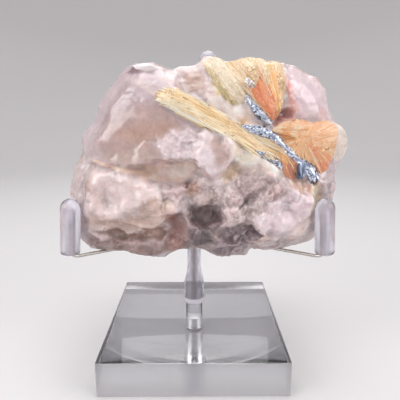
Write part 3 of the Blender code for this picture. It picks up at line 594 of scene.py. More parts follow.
                         (16.2, 11.6), (13.5, 14.2), (12, 16.6)], "4A5161", 1.0, 0.5),
    "under the vein": ([(10, 10.2), (12.6, 10), (15.4, 9.3), (17.6, 9.8), (19.5, 8.4), (22, 6), (24.4, 3.8),
                        (26.6, 1.4), (30.4, -0.8), (33, -2.8), (35, -5.6), (34.8, -8.4), (33.4, -8.8),
                        (31.2, -6.4), (29.4, -3), (27.4, -1.2), (24.8, 0.9), (22.6, 3.2), (20, 5.4),
                        (17.4, 6), (14.6, 7.2), (11.4, 8.2)], "4A5161", 1.0, 0.5),
    "under the seam": ([(13.8, 2.4), (17.5, 1.7), (20.6, 0), (23.2, -2.6), (22, -3.4), (19.4, -1.6),
                        (16.6, 0)], "5A6070", 1.0, 0.5),
    "under the tuft": ([(11.2, 24.8), (12.8, 24.2), (14.2, 22.4), (13.2, 21.4), (11.6, 22.6)],
                       "4A5161", 1.0, 0.5),
}
CRACK = ([(-36.4, -0.7), (-31, -2.6), (-25.4, -4.0), (-23.0, -4.9)], "FFE2CE", 0.5)
QUARTZ_BODY = "CFC2C1"
QUARTZ_WARM = "C4AD9E"
QUARTZ_PALE = "E2DADD"
QUARTZ_SMOKE = "A0959A"
# The colour of the painted highlight on the break's ridges
RIDGE_HIGHLIGHT_COLOUR = "F2EAEE"

# How crumbly the break is by area, from 0 on a glassy face to 1 where it falls into grains
CRUMBLE = {
    "all of the face": ([(-60, -60), (60, -60), (60, 60), (-60, 60)], 0.2, 1.0),
    "glassy block": ([(-48, 12), (-38, -0.5), (-25.5, -4), (-14, -1.6), (-2, -0.5), (-2, 9), (-12, 20),
                      (-14, 36), (-48, 40)], 0.0, 3.0),
    "beside the bundles": ([(-16, 30), (4, 30), (14, 18), (14, 9), (-2, 14), (-12, 22)], 0.08, 3.0),
    "frosted patch": (TINTS["frosted patch"][0], 0.5, 2.5),
    "tan face": (TINTS["tan face under the ledge"][0], 0.05, 2.0),
    "white mass": (TINTS["white mass"][0], 0.1, 4.0),
    "middle lump": (TINTS["middle lump"][0], 0.12, 2.0),
    "crumbling middle": ([(-8, -9), (8, -6), (22, -7), (26, -12), (18, -15), (16, -20), (-2, -17),
                          (-6, -14)], 0.5, 4.0),
    "foot": ([(-44, -23), (-7, -22), (-6, -34), (-44, -34)], 0.2, 3.0),
    "smoky foot": ([(-6, -23), (5, -21), (17, -20), (18, -34), (-6, -34)], 0.6, 3.0),
    "lower right mass": (TINTS["lower right mass"][0], 0.2, 4.0),
    "right rim": (TINTS["right rim"][0], 0.1, 3.0),
}
# Sizes of the break's facets in millimetres, with their tilt, their hollow, how worn their ridges are, and
# how much of them shows even on a glassy face. The back breaks in broad shells as well, without that share.
CELLS = [(9.0, 0.26, 0.3, 0.07, 0.07), (4.4, 0.26, 0.3, 0.06, 0.06), (2.0, 0.3, 0.3, 0.04, 0.03)]
BACK_CELLS = (19.0, 0.2, 0.3, 0.05)
BACK_FROM = 14.0
FACE_DEPTH = 2.0
BREAK_SEED = 1
# The soft lights are a little cool on the stone, so its tints are warmed all over
TINT_BALANCE = [1.02, 0.96, 0.95]


def line_distance(x, z, line):
    """The distance in the face's plane to the nearest part of a line of (x, z) corners."""
    nearest = np.full(x.shape, 1e9)
    for (ax, az), (bx, bz) in zip(line, line[1:]):
        dx, dz = bx - ax, bz - az
        t = np.clip(((x - ax) * dx + (z - az) * dz) / (dx * dx + dz * dz), 0, 1)
        nearest = np.minimum(nearest, np.hypot(x - ax - t * dx, z - az - t * dz))
    return nearest


def inside_distance(x, z, corners):
    """Signed distance in the face's plane to a closed outline, more than 0 inside it."""
    closed = [*corners, corners[0]]
    inside = np.zeros(x.shape, bool)
    for (ax, az), (bx, bz) in zip(closed, closed[1:]):
        if az != bz:
            inside ^= ((az > z) != (bz > z)) & (x < (bx - ax) * (z - az) / (bz - az) + ax)
    nearest = line_distance(x, z, closed)
    return np.where(inside, nearest, -nearest)


def smooth_step(t):
    """From 0 at t = 0 to 1 at t = 1, with level ends."""
    t = np.clip(t, 0, 1)
    return t * t * (3 - 2 * t)


def noise_of(points, size, seed=0.0):
    """Smooth noise from about -1 to 1 at each point, with lumps of that size in millimetres."""
    shift = Vector((7.3, 3.1, 5.7)) * seed
    return np.array([noise.noise(Vector(p) / size + shift) for p in points])


def broken_cells(points, size, tilt, bowl, soft, seed):
    """Heights of hollowed, tilted facets that meet in worn ridges, and a shade for each from -1 to 1."""
    shift = Vector((3.7, 9.1, 1.3)) * seed
    heights, shades = np.empty(len(points)), np.empty(len(points))
    for i, p in enumerate(points):
        where = Vector(p) / size + shift
        total, shade = 0.0, 0.0
        for middle in noise.voronoi(where)[1]:
            slope = noise.noise_vector(middle * 5.3)
            from_middle = where - middle
            rise = from_middle.dot(slope) * 2.0 + from_middle.length_squared * bowl
            weight = math.exp(-rise / soft)
            total += weight
            shade += weight * noise.noise(middle * 7.7 + shift)
        heights[i] = -soft * math.log(total)
        shades[i] = shade / total
    return (heights - heights.mean()) * size * tilt, shades


def read_points(mesh, kind="co"):
    """The mesh's points as rows of an array, or their normals."""
    flat = np.empty(len(mesh.vertices) * 3)
    mesh.vertices.foreach_get(kind, flat)
    return flat.reshape(-1, 3)


def stain(tints, code, share):
    """Blends the points' colours towards that one, each by its share."""
    tints += (np.array(linear(code)[:3]) - tints) * share[:, None]


only(camera)
copies = []
for name in ["quartz_matrix", *CRYSTAL_NODES]:
    copied = bpy.data.objects.new("copy_of_" + name, frame["nodes"][name].data.copy())
    bpy.context.scene.collection.objects.link(copied)
    only(copied)
    bpy.ops.object.mode_set(mode="EDIT")
    bpy.ops.mesh.select_all(action="SELECT")
    bpy.ops.mesh.remove_doubles(threshold=0.001 * MM)
    bpy.ops.object.mode_set(mode="OBJECT")
    if name != "quartz_matrix":
        # The gaps beside the CAD crystals are closed, because the real minerals have grown together
        apply_modifier(copied, "DISPLACE", strength=POCKET_FILL * MM, mid_level=0.0)
        copied.location.y = POCKET_FILL * MM
        bpy.ops.object.transform_apply(location=True, rotation=True, scale=True)
    copies.append(copied)
only(*copies)
bpy.context.view_layer.objects.active = copies[0]
bpy.ops.object.join()
stone = bpy.context.object
apply_modifier(stone, "REMESH", mode="VOXEL", voxel_size=QUARTZ_VOXEL * MM)
apply_modifier(stone, "SMOOTH", factor=0.5, iterations=4)

# Only the outer skin is kept, without the small hollows that were left under the crystals
only(stone)
bpy.ops.object.mode_set(mode="EDIT")
skin_mesh = bmesh.from_edit_mesh(stone.data)
for vertex in skin_mesh.verts:
    vertex.select = False
lowest = min(skin_mesh.verts, key=lambda v: v.co.z)
lowest.select = True
skin_mesh.select_flush(True)
bpy.ops.mesh.select_linked()
bpy.ops.mesh.select_all(action="INVERT")
bpy.ops.mesh.delete(type="VERT")
bpy.ops.mesh.select_all(action="SELECT")
bpy.ops.mesh.normals_make_consistent(inside=False)
bpy.ops.object.mode_set(mode="OBJECT")

# Without a seed, the facets' tilts would start from the clock and differ in each run
noise.seed_set(BREAK_SEED)
lean = np.array(Matrix.Rotation(-STONE_LEAN, 3, "X"))
centre = np.array(STONE_CENTRE)
points = (read_points(stone.data) / MM - centre) @ lean
normals = read_points(stone.data, "normal") @ lean
x, y, z = points.T
# The named areas reach from the face round its edge, and noise makes their edges wander
in_front = smooth_step((FACE_DEPTH - y) / 4.0) * smooth_step((0.35 - normals[:, 1]) / 0.5)
wander = np.stack([noise_of(points, 3.0, 1), noise_of(points, 3.0, 2)]) * 0.9
wander = wander + np.stack([noise_of(points, 1.0, 3), noise_of(points, 1.0, 4)]) * 0.35
xw, zw = x + wander[0], z + wander[1]

crumble = np.full(len(points), 0.5)
for outline, amount, edge in CRUMBLE.values():
    share = smooth_step(inside_distance(xw, zw, outline) / edge + 0.5) * in_front
    crumble = crumble + (amount - crumble) * share
crumble_behind = np.clip(0.28 + 0.5 * noise_of(points, 18.0, 8), 0.04, 0.7)
crumble = crumble * in_front + crumble_behind * (1 - in_front)

on_crystals = np.zeros(len(points))
for name, area in TINTS.items():
    if name.startswith("under the "):
        share = smooth_step(inside_distance(x, z, area[0]) + 0.5) * in_front
        on_crystals = np.maximum(on_crystals, share)

moved = np.zeros(len(points))
grain_shade = np.zeros(len(points))
for level, (size, tilt, bowl, soft, least) in enumerate(CELLS, start=1):
    rise, shade = broken_cells(points, size, tilt, bowl, soft, level)
    moved += rise * (least + (1 - least) * crumble)
    grain_shade += shade * crumble * (0.2 + 0.2 * level)
moved += noise_of(points, 1.1, 9) * 0.06 * crumble
size, tilt, bowl, soft = BACK_CELLS
rise, shade = broken_cells(points, size, tilt, bowl, soft, 7)
behind = smooth_step((y - BACK_FROM) / 8)
moved += rise * behind
grain_shade += shade * behind
moved *= 1 - 0.85 * on_crystals
out = np.zeros(len(points))
for outline, height_out, edge in FACE_STEPS.values():
    out += height_out * smooth_step(inside_distance(xw, zw, outline) / edge + 0.5) * in_front
out *= 1 - on_crystals

# The stone keeps clear of the wires and the tips that hold it
room = np.full(len(points), FREE_ROOM)
placed = points @ lean.T + centre
for side in TIPS:
    for name in (f"wire_arm_{side}", f"wire_tip_{side}"):
        low, high = np.array(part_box(name)) / MM
        held = frame["nodes"][name].data
        holder = BVHTree.FromPolygons(
            [v.co / MM for v in held.vertices], [tuple(face.vertices) for face in held.polygons]
        )
        near = ((placed > low - HOLDER_REACH) & (placed < high + HOLDER_REACH)).all(axis=1)
        for i in np.flatnonzero(near):
            distance = holder.find_nearest(Vector(placed[i]), HOLDER_REACH)[3]
            if distance is not None:
                room[i] = min(room[i], distance)
moved = np.minimum(moved, room - HOLDER_GAP)
out = np.minimum(out, np.maximum(room - HOLDER_GAP - np.maximum(moved, 0), 0))
points = points + normals * moved[:, None]
points[:, 1] -= out
low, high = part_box("quartz_matrix")
placed = np.clip((points @ lean.T + centre) * MM, np.array(low), np.array(high))
stone.data.vertices.foreach_set("co", placed.ravel())
stone.data.update()

# Ridges of the break get a painted highlight towards white, and its hollows get a little painted shade
ends = np.empty(len(stone.data.edges) * 2, np.int64)
stone.data.edges.foreach_get("vertices", ends)
a, b = ends.reshape(-1, 2).T
count = np.bincount(np.concatenate([a, b]), minlength=len(points))[:, None]
mean = points.copy()
for _ in range(2):
    total = np.zeros_like(points)
    np.add.at(total, a, mean[b])
    np.add.at(total, b, mean[a])
    mean = total / count
normals = read_points(stone.data, "normal") @ lean
ridge = ((points - mean) * normals).sum(1)
ridge = np.clip(ridge / 0.07, -1, 1)

blotch = noise_of(points, 9.0, 5)
speck = noise_of(points, 2.2, 6)
tint = np.array(linear(QUARTZ_BODY)[:3])[None] * np.ones((len(points), 1))
for code, share in (
    (QUARTZ_WARM, smooth_step(blotch * 1.4)),
    (QUARTZ_PALE, smooth_step(noise_of(points, 6.0, 7) * 1.6)),
    (QUARTZ_SMOKE, smooth_step(-blotch * 1.6 - 0.25) * (0.7 + 0.3 * behind)),
):
    stain(tint, code, share)
# The colours run on a little further round the edge than the shapes do
coloured = smooth_step((FACE_DEPTH + 6 - y) / 6) * smooth_step((0.6 - normals[:, 1]) / 0.5)
smoky = np.zeros(len(points))
for name, (outline, code, strength, edge) in TINTS.items():
    share = smooth_step(inside_distance(xw, zw, outline) / edge + 0.5) * coloured * strength
    stain(tint, code, share)
    if name.startswith(("smok", "dark")):
        smoky = np.maximum(smoky, share)
# Grains differ in shade, most of all where smoky quartz shows some of its facets dark and some clear
tint *= (1 + (0.12 + 0.5 * smoky) * grain_shade + 0.04 * speck)[:, None]
off_crystals = 1 - on_crystals
# Painted highlight on the ridges, fainter on dark tints and left off the crystals
painted_highlight = np.clip(ridge, 0, 1) * (0.22 + 0.15 * crumble) * np.clip(tint.mean(1) / 0.45, 0.1, 1)
stain(tint, RIDGE_HIGHLIGHT_COLOUR, painted_highlight * off_crystals)
# Painted shade in the hollows of the break
tint *= 1 + 0.08 * (np.clip(ridge, -1, 0) * off_crystals)[:, None]
# Iron has stained the crack along the ledge
line, code, half_width = CRACK
stain(tint, code, smooth_step(1.3 - line_distance(x, z, line) / half_width * 0.8) * in_front)
tint = np.clip(tint * TINT_BALANCE, 0, 1)

tint_layer = stone.data.attributes.new("tint", "FLOAT_COLOR", "POINT")
tint_layer.data.foreach_set("color", np.hstack([tint, np.ones((len(tint), 1))]).astype(np.float32).ravel())
frost_layer = stone.data.attributes.new("frost", "FLOAT", "POINT")
frost = np.clip(crumble * (1 - 0.6 * on_crystals) + 0.1 * speck, 0, 1)
frost_layer.data.foreach_set("value", frost.astype(np.float32))
only(stone)
bpy.ops.object.shade_smooth()
stone.name = stone.data.name = "milky_quartz"

# Milky quartz lets light in and scatters it, so it glows from inside. Its glassy faces glint, and where it
# is crumbled the grains make it matt and sugary. The sizes are in millimetres: how far light spreads in it,
# the grains' facets and their tones, the sugary skin, bright flecks, milky veils, and waves on glassy faces.
IOR_QUARTZ = 1.544
QUARTZ_GLOW = 2.6
GRAIN = 1.3
GRAIN_TONE = 1.1
SUGAR = 0.9
FLECK = 0.7
VEIL = 7.0
RIPPLE = 5.0
quartz, tree, shader = start_material(
    "milky quartz, freshly broken",
    {"IOR": IOR_QUARTZ, "Subsurface Weight": 1.0, "Subsurface Radius": (1.0, 0.76, 0.72),
     "Subsurface Scale": QUARTZ_GLOW * MM, "Coat Weight": 0.35, "Coat Roughness": 0.07,
     "Coat IOR": IOR_QUARTZ},
)
place = add_node(tree, "TexCoord").outputs["Object"]
tint_of = add_node(tree, "Attribute", attribute_name="tint").outputs["Color"]
frost_of = add_node(tree, "Attribute", attribute_name="frost").outputs["Fac"]
fine = add_node(tree, "TexNoise", {0: place, "Scale": 1 / (SUGAR * MM), "Detail": 5.0, "Roughness": 0.65})
shade = add_node(
    tree, "MapRange", {0: fine.outputs[0], "From Min": 0.3, "From Max": 0.7, "To Min": 0.93, "To Max": 1.05}
)
# Grains are each a little lighter or darker, most of all where the break is sugary, and faint veils wander
# through the clearer parts
grain_tone = add_node(tree, "TexVoronoi", {"Vector": place, "Scale": 1 / (GRAIN_TONE * MM)}, feature="F1")
grain_light = add_node(tree, "SeparateColor", {0: grain_tone.outputs["Color"]}).outputs[0]
grain_span = add_node(tree, "MapRange", {0: frost_of, "To Min": 0.02, "To Max": 0.3})
grain_off = add_node(tree, "Math", {0: grain_light, 1: -0.5}, operation="ADD")
grain_part = add_node(
    tree, "Math", {0: grain_off.outputs[0], 1: grain_span.outputs[0], 2: shade.outputs[0]},
    operation="MULTIPLY_ADD",
)
veils = add_node(
    tree, "TexNoise", {0: place, "Scale": 1 / (VEIL * MM), "Detail": 4.0, "Roughness": 0.6, "Distortion": 1.6}
)
veil_light = add_node(
    tree, "MapRange", {0: veils.outputs[0], "From Min": 0.3, "From Max": 0.7, "To Min": 0.9, "To Max": 1.1}
)
flecks = add_node(tree, "TexNoise", {0: place, "Scale": 1 / (FLECK * MM), "Detail": 3.0, "Roughness": 0.7})
fleck_light = add_node(
    tree, "MapRange", {0: flecks.outputs[0], "From Min": 0.56, "From Max": 0.66, "To Min": 0.0, "To Max": 0.5}
)
fleck_part = add_node(tree, "Math", {0: fleck_light.outputs[0], 1: frost_of}, operation="MULTIPLY")
grain_part = add_node(tree, "Math", {0: grain_part.outputs[0], 1: fleck_part.outputs[0]}, operation="ADD")
light = add_node(tree, "Math", {0: grain_part.outputs[0], 1: veil_light.outputs[0]}, operation="MULTIPLY")
shaded = add_node(tree, "VectorMath", {0: tint_of, "Scale": light.outputs[0]}, operation="SCALE")
tree.links.new(shaded.outputs[0], shader.inputs["Base Color"])
matt = add_node(tree, "MapRange", {0: frost_of, "To Min": 0.16, "To Max": 0.5})
uneven = add_node(tree, "MapRange", {0: fine.outputs[0], "To Min": 0.75, "To Max": 1.3})
rough = add_node(tree, "Math", {0: matt.outputs[0], 1: uneven.outputs[0]}, operation="MULTIPLY")
tree.links.new(rough.outputs[0], shader.inputs["Roughness"])
ripple = add_node(tree, "TexNoise", {0: place, "Scale": 1 / (RIPPLE * MM), "Detail": 2.0, "Distortion": 1.2})
# Each grain of the break is a small flat facet with its own tilt, which makes it sparkle
grains = add_node(tree, "TexVoronoi", {"Vector": place, "Scale": 1 / (GRAIN * MM)}, feature="F1")
from_middle = add_node(tree, "VectorMath", {0: place, 1: grains.outputs["Position"]}, operation="SUBTRACT")
slope = add_node(tree, "VectorMath", {0: grains.outputs["Color"], 1: (0.5, 0.5, 0.5)}, operation="SUBTRACT")
facets = add_node(
    tree, "VectorMath", {0: from_middle.outputs[0], 1: slope.outputs[0]}, operation="DOT_PRODUCT"
)
sugar_strength = add_node(tree, "MapRange", {0: frost_of, "To Min": 0.03, "To Max": 0.8})
facet_strength = add_node(tree, "MapRange", {0: frost_of, "To Min": 0.02, "To Max": 0.9})
# The glassy parts let some light right through
passing = add_node(tree, "MapRange", {0: frost_of, "From Max": 0.5, "To Min": 0.2, "To Max": 0.0})
tree.links.new(passing.outputs[0], shader.inputs["Transmission Weight"])
ripple_bump = add_node(tree, "Bump", {"Strength": 0.12, "Distance": 0.5 * MM, "Height": ripple.outputs[0]})
grain_bump = add_node(
    tree, "Bump", {"Strength": facet_strength.outputs[0], "Distance": 1.0,
                   "Height": facets.outputs["Value"], "Normal": ripple_bump.outputs[0]}
)
fine_bump = add_node(
    tree, "Bump", {"Strength": sugar_strength.outputs[0], "Distance": 0.25 * MM,
                   "Height": fine.outputs[0], "Normal": grain_bump.outputs[0]}
)
tree.links.new(fine_bump.outputs[0], shader.inputs["Normal"])
tree.links.new(fine_bump.outputs[0], shader.inputs["Coat Normal"])
hand_over(stone, quartz, "quartz", "quartz_matrix")

# The rutile
# Bundles and fans of straight, needle-fine titanium dioxide crystals that lie along the quartz. One
# six-sided needle is modelled, and joined copies of it are laid side by side on the stone's face.
NEEDLE_SIDES = 6
NEEDLE_POINT = 0.06
NEEDLE_BULGE = 0.22
BEFORE_FACE = -60.0

only(camera)
bpy.ops.mesh.primitive_cylinder_add(vertices=NEEDLE_SIDES, radius=0.5, depth=1, end_fill_type="NGON")
needle = bpy.context.object
bpy.ops.object.mode_set(mode="EDIT")
needle_mesh = bmesh.from_edit_mesh(needle.data)
for end in (-1, 1):
    bpy.ops.mesh.select_all(action="DESELECT")
    for face in needle_mesh.faces:
        face.select_set(face.normal.z * end > 0.9)
    bpy.ops.mesh.extrude_region_move(TRANSFORM_OT_translate={"value": (0, 0, end * NEEDLE_POINT)})
    bpy.ops.transform.resize(value=(0.35, 0.35, 1), center_override=(0, 0, end * (0.5 + NEEDLE_POINT)))
bpy.ops.mesh.select_all(action="SELECT")
bpy.ops.mesh.quads_convert_to_tris()
bpy.ops.object.mode_set(mode="OBJECT")
needle_points = read_points(needle.data)
needle_faces = np.array([list(face.vertices) for face in needle.data.polygons])
bpy.data.objects.remove(needle)

stone_tree = BVHTree.FromPolygons(
    [Vector(p) for p in points], [tuple(face.vertices) for face in stone.data.polygons]
)


def face_at(x, z):
    """The point of the stone's front at (x, z) in the stone's own frame, or None beside the stone."""
    return stone_tree.ray_cast(Vector((x, BEFORE_FACE, z)), Vector((0, 1, 0)))[0]


def inside(where, outline):
    """What inside_distance gives, for one point. Plain numbers are far quicker here than arrays."""
    x, z = where
    nearest, within = 1e9, False
    for (ax, az), (bx, bz) in zip(outline, outline[1:] + outline[:1]):
        dx, dz = bx - ax, bz - az
        t = min(max(((x - ax) * dx + (z - az) * dz) / (dx * dx + dz * dz), 0), 1)
        nearest = min(nearest, math.hypot(x - ax - t * dx, z - az - t * dz))
        if (az > z) != (bz > z) and x < dx * (z - az) / dz + ax:
            within = not within
    return nearest if within else -nearest


def join_copies(name, shape_points, shape_faces, copies):
    """One mesh of all the copies, each given as its middle, its three half axes and its colour."""
    every_point, every_face, every_colour = [], [], []
    for middle, across, thick, along, colour in copies:
        axes = np.array([across, thick, along])
        every_face.append(shape_faces + len(every_point) * len(shape_points))
        every_point.append(shape_points @ axes + np.array(middle))
        every_colour.append(np.tile([*colour, 1.0], (len(shape_points), 1)))
    placed = (np.concatenate(every_point) @ lean.T + centre) * MM
    placed = np.clip(placed, np.array(cad_box[0]), np.array(cad_box[1]))
    mesh = bpy.data.meshes.new(name)
    mesh.from_pydata(placed.tolist(), [], np.concatenate(every_face).tolist())
    layer = mesh.attributes.new("tint", "FLOAT_COLOR", "POINT")
    layer.data.foreach_set("color", np.concatenate(every_colour).astype(np.float32).ravel())
    made = bpy.data.objects.new(name, mesh)
    bpy.context.scene.collection.objects.link(made)
    only(made)
    bpy.ops.object.mode_set(mode="EDIT")
    bpy.ops.mesh.select_all(action="SELECT")
    bpy.ops.mesh.normals_make_consistent(inside=False)
    bpy.ops.object.mode_set(mode="OBJECT")
    bpy.ops.object.shade_smooth_by_angle(angle=math.radians(50))
    return made


def along_stations(stations, t):
    """The middle, half width and direction at t, from 0 to 1 along the stations."""
    where = t * (len(stations) - 1)
    n = min(int(where), len(stations) - 2)
    (ax, az, ah), (bx, bz, bh) = stations[n], stations[n + 1]
    f = where - n
    ahead = Vector((bx - ax, bz - az)).normalized()
    return Vector((ax + (bx - ax) * f, az + (bz - az) * f)), ah + (bh - ah) * f, ahead


def turned(flat, degrees):
    """A direction in the face's plane, turned by that angle."""
    turn = math.radians(degrees)
    return Vector((flat.x * math.cos(turn) - flat.y * math.sin(turn),
                   flat.x * math.sin(turn) + flat.y * math.cos(turn)))


def lay_needle(draw, start, end, width, lift, colour, flatness=1.0):
    """One needle from start to end on the face, in (x, z), or None where there is no stone."""
    hits = [face_at(*start), face_at(*end), face_at(*((start + end) / 2))]
    if None in hits:
        return None
    # Where the face bulges a little between its ends, the needle lies over the bulge
    bulge = min(max((hits[0].y + hits[1].y) / 2 - hits[2].y, 0), NEEDLE_BULGE)
    out = Vector((0, -lift - bulge, 0))
    a, b = hits[0] + out, hits[1] + out
    along = b - a
    across = along.cross(Vector((draw.uniform(-0.5, 0.5), 1, 0))).normalized()
    thick = across.cross(along).normalized()
    return (a + b) / 2, across * width, thick * width * flatness * draw.uniform(0.6, 1.0), along, colour


def from_palette(codes, share):
    """A linear colour at that share, from 0 to 1, along the codes."""
    colours = [np.array(linear(code)[:3]) for code in codes]
    where = min(max(share, 0.0), 0.9999) * (len(codes) - 1)
    n = int(where)
    return colours[n] + (colours[n + 1] - colours[n]) * (where - n)


STRAW = ["845A2E", "F6CE96", "FFE2B4", "FFF0D0", "FFFAEC"]
CREAM = ["A9824F", "DDB78A", "ECCEA8", "F6E0C4"]
MILKY_CREAM = ["C9A074", "E9CFAA", "F4E1C8", "FBEEDC"]
OLIVE = ["A08A54", "CCB37A", "E4CE9C"]
AMBER = ["D88440", "F6AC62", "FCC68A", "FFE2BA"]
ORANGE = ["C4623A", "EC8854", "F6A272", "FCC4A0"]
PEACH = ["D98A4E", "EDA468", "F3B884", "F8CDA0", "FEE6C8"]
BRICK = ["9C4A38", "BE6A4E", "D2845C", "E4A470"]

# Each bundle: the line of each of its parts (x, z, half width), how many needles, their lengths and widths,
# and by how many degrees they stray from the line
BUNDLES = {
    "rutile_needles_long": [
        {"line": [(-13.9, 18.5, 1.5), (-10.6, 17.6, 2.8), (-6.0, 15.4, 3.5), (-1.0, 12.8, 3.2),
                  (4.0, 10.4, 2.7), (8.0, 7.6, 2.4), (12.0, 4.9, 2.0), (16.0, 2.6, 1.5), (19.4, 0.8, 0.8)],
         "count": 1350, "length": (3.0, 15.0), "width": (0.1, 0.3), "stray": 2.6, "seed": 11},
        {"line": [(10.6, 7.6, 0.8), (14.4, 5.6, 1.5), (17.9, 3.8, 1.9), (21.0, 2.4, 1.8), (24.0, 0.4, 0.9)],
         "count": 420, "length": (3.0, 8.0), "width": (0.1, 0.3), "stray": 5.0, "seed": 16},
    ],
    "rutile_needles_top": [
        {"line": [(1.0, 30.8, 2.4), (4.0, 26.0, 3.3), (6.0, 22.6, 3.3), (9.4, 18.4, 1.8)],
         "count": 620, "length": (4.0, 11.0), "width": (0.12, 0.34), "stray": 2.5, "seed": 12},
    ],
}
BUNDLE_NODES = {"rutile_needles_long": "rutile_bundle_long", "rutile_needles_top": "rutile_bundle_top"}
# Each fan: the points that its needles spread from, each with angles in degrees, nearest and furthest reach
# and its share of the needles, and the outline that they fill
FANS = {
    "rutile_needles_upper": {
        "node": "rutile_fan_upper", "rays": [((23.6, 7.0), (84, 146), (5.0, 27.0), 1.0)],
        "outline": TINTS["under the upper fan"][0], "count": 1100, "length": (4.0, 10.0),
        "width": (0.22, 0.6), "seed": 13,
    },
    "rutile_needles_right": {
        "node": "rutile_fan_right",
        "rays": [((29.6, 6.4), (-170, 40), (0.3, 12.0), 0.55), ((16.0, 9.2), (-14, 14), (4.0, 16.0), 0.2),
                 ((27.0, 4.0), (-5, 75), (5.0, 14.0), 0.25)],
        "outline": TINTS["under the right fan"][0], "count": 1300, "length": (3.0, 8.0),
        "width": (0.18, 0.5), "seed": 14,
    },
    "rutile_needles_lower": {
        "node": "rutile_fan_lower", "rays": [((21.6, 5.6), (-86, -44), (2.0, 15.0), 1.0)],
        "outline": TINTS["under the lower fan"][0], "count": 340, "length": (2.5, 6.0),
        "width": (0.16, 0.4), "seed": 15,
    },
}
FAN_MARGIN = 0.3
FAN_OVERHANG = 0.4
FAN_STEP = 0.4
# The orange and amber areas of the upper fan
ORANGE_WEDGE = [(15.7, 26.6), (16.8, 24.5), (18.9, 20.9), (20.5, 17), (21.9, 13.2), (19.9, 12.4),
                (16.4, 14.8), (13.6, 18.5), (12.6, 21.2), (14.2, 22.9)]
AMBER_TONGUES = [(18.2, 22.5), (19.2, 26), (20.3, 27.4), (21.7, 25.7), (22.6, 20.9), (22.4, 16.7),
                 (21.6, 13.8), (20.3, 17.4)]


def streak(position, seed):
    """A share from about 0 to 1 that neighbouring needles have in common."""
    broad = noise.noise(Vector((position * 1.3, seed, 0.5)))
    narrow = noise.noise(Vector((position * 5.0, seed, 3.5)))
    return 0.55 + 0.35 * broad + 0.35 * narrow


def bundle_colour(name, part, t, s, draw):
    """A needle's colour at t along the bundle and s across it, from -1 to 1."""
    share = streak(s * 2.5, part["seed"]) + draw.uniform(-0.12, 0.12)
    wave = noise.noise(Vector((s * 3, 4.5, part["seed"])))
    if name == "rutile_needles_top":
        return from_palette(OLIVE if s > 0.4 + 0.5 * wave and 0.3 < t < 0.85 else MILKY_CREAM, share)
    if part["seed"] == 16:
        return from_palette(AMBER if t > 0.6 + 0.4 * wave else STRAW, share)
    if draw.random() < 0.04 + 0.18 * (t > 0.4):
        return from_palette(STRAW, draw.uniform(0, 0.25))
    return from_palette(STRAW, share + (0.12 if t < 0.45 else 0.0))


def fan_look(name, where, turn, draw):
    """A needle's colour, and the outlines that it stays inside and outside of."""
    share = streak(turn * 0.16, len(name)) + draw.uniform(-0.07, 0.07)
    wave = noise.noise(Vector((turn * 0.3, 8.5, len(name)))) * 1.4
    x, z = where
    if name == "rutile_needles_upper":
        if inside(where, ORANGE_WEDGE) > wave * 0.4:
            return from_palette(ORANGE, share), [ORANGE_WEDGE], []
        if inside(where, AMBER_TONGUES) > wave * 0.4:
            return from_palette(AMBER, share - 0.1), [AMBER_TONGUES], [ORANGE_WEDGE]
        return from_palette(CREAM, share), [], [ORANGE_WEDGE, AMBER_TONGUES]
    if name == "rutile_needles_right":
        if x > 33.5 + wave and z < 0.5 + wave:
            return from_palette(ORANGE, share), [], []
        if x < 26 + wave and z > 6.5:
            return from_palette(PEACH, share + 0.3), [], []
        return from_palette(PEACH, share - 0.2 if z > 6.5 + wave else share - 0.05), [], []
    return from_palette(AMBER if z > wave - 1.5 and x < 25.3 else BRICK, share), [], []


def cover_in_flecks(tree, shader, flecks, shades, roughness, relief):
    """Ties the piece's own tints to the shader, with flecks in their shade, in the shine and in relief."""
    place = add_node(tree, "TexCoord").outputs["Object"]
    tint_of = add_node(tree, "Attribute", attribute_name="tint").outputs["Color"]
    fleck = add_node(tree, "TexNoise", {0: place, **flecks}).outputs[0]
    shade = add_node(tree, "MapRange", {0: fleck, "To Min": shades[0], "To Max": shades[1]})
    shaded = add_node(tree, "VectorMath", {0: tint_of, "Scale": shade.outputs[0]}, operation="SCALE")
    tree.links.new(shaded.outputs[0], shader.inputs["Base Color"])
    shine = add_node(tree, "MapRange", {0: fleck, "To Min": roughness[0], "To Max": roughness[1]})
    tree.links.new(shine.outputs[0], shader.inputs["Roughness"])
    bump = add_node(tree, "Bump", {"Strength": relief, "Distance": 0.05 * MM, "Height": fleck})
    tree.links.new(bump.outputs[0], shader.inputs["Normal"])


# Rutile is silky along its needles: a high, almost metallic shine over straw gold, orange or brick red. Its
# flecks are about 0.6 mm.
rutile, tree, shader = start_material(
    "rutile needles, silky",
    {"IOR": 2.0, "Roughness": 0.34, "Subsurface Weight": 0.25, "Subsurface Radius": (1.0, 0.6, 0.3),
     "Subsurface Scale": 0.6 * MM},
)
cover_in_flecks(tree, shader, {"Scale": 1800.0, "Detail": 2.0}, (0.85, 1.15), (0.28, 0.5), 0.1)

for name, parts in BUNDLES.items():
    laid = []
    for part in parts:
        draw = random.Random(part["seed"])
        wanted = len(laid) + part["count"]
        while len(laid) < wanted:
            t, s = draw.random(), draw.uniform(-1, 1)
            middle, half, ahead = along_stations(part["line"], t)
            side = Vector((-ahead.y, ahead.x))
            middle = middle - side * s * half
            ahead = turned(ahead, draw.gauss(0, part["stray"]))
            room = min(t, 1 - t) * 2 + 0.3
            reach = draw.uniform(*part["length"]) / 2 * min(room, 1)
            width = draw.uniform(*part["width"])
            colour = bundle_colour(name, part, t, s, draw)
            # The bundle is thickest along its middle
            lift = draw.uniform(-0.12, 0.32) * (1 - 0.7 * s * s)
            one = lay_needle(draw, middle - ahead * reach, middle + ahead * reach, width, lift, colour)
            if one is not None:
                laid.append(one)
    made = join_copies(name, needle_points, needle_faces, laid)
    hand_over(made, rutile, "rutile", BUNDLE_NODES[name])

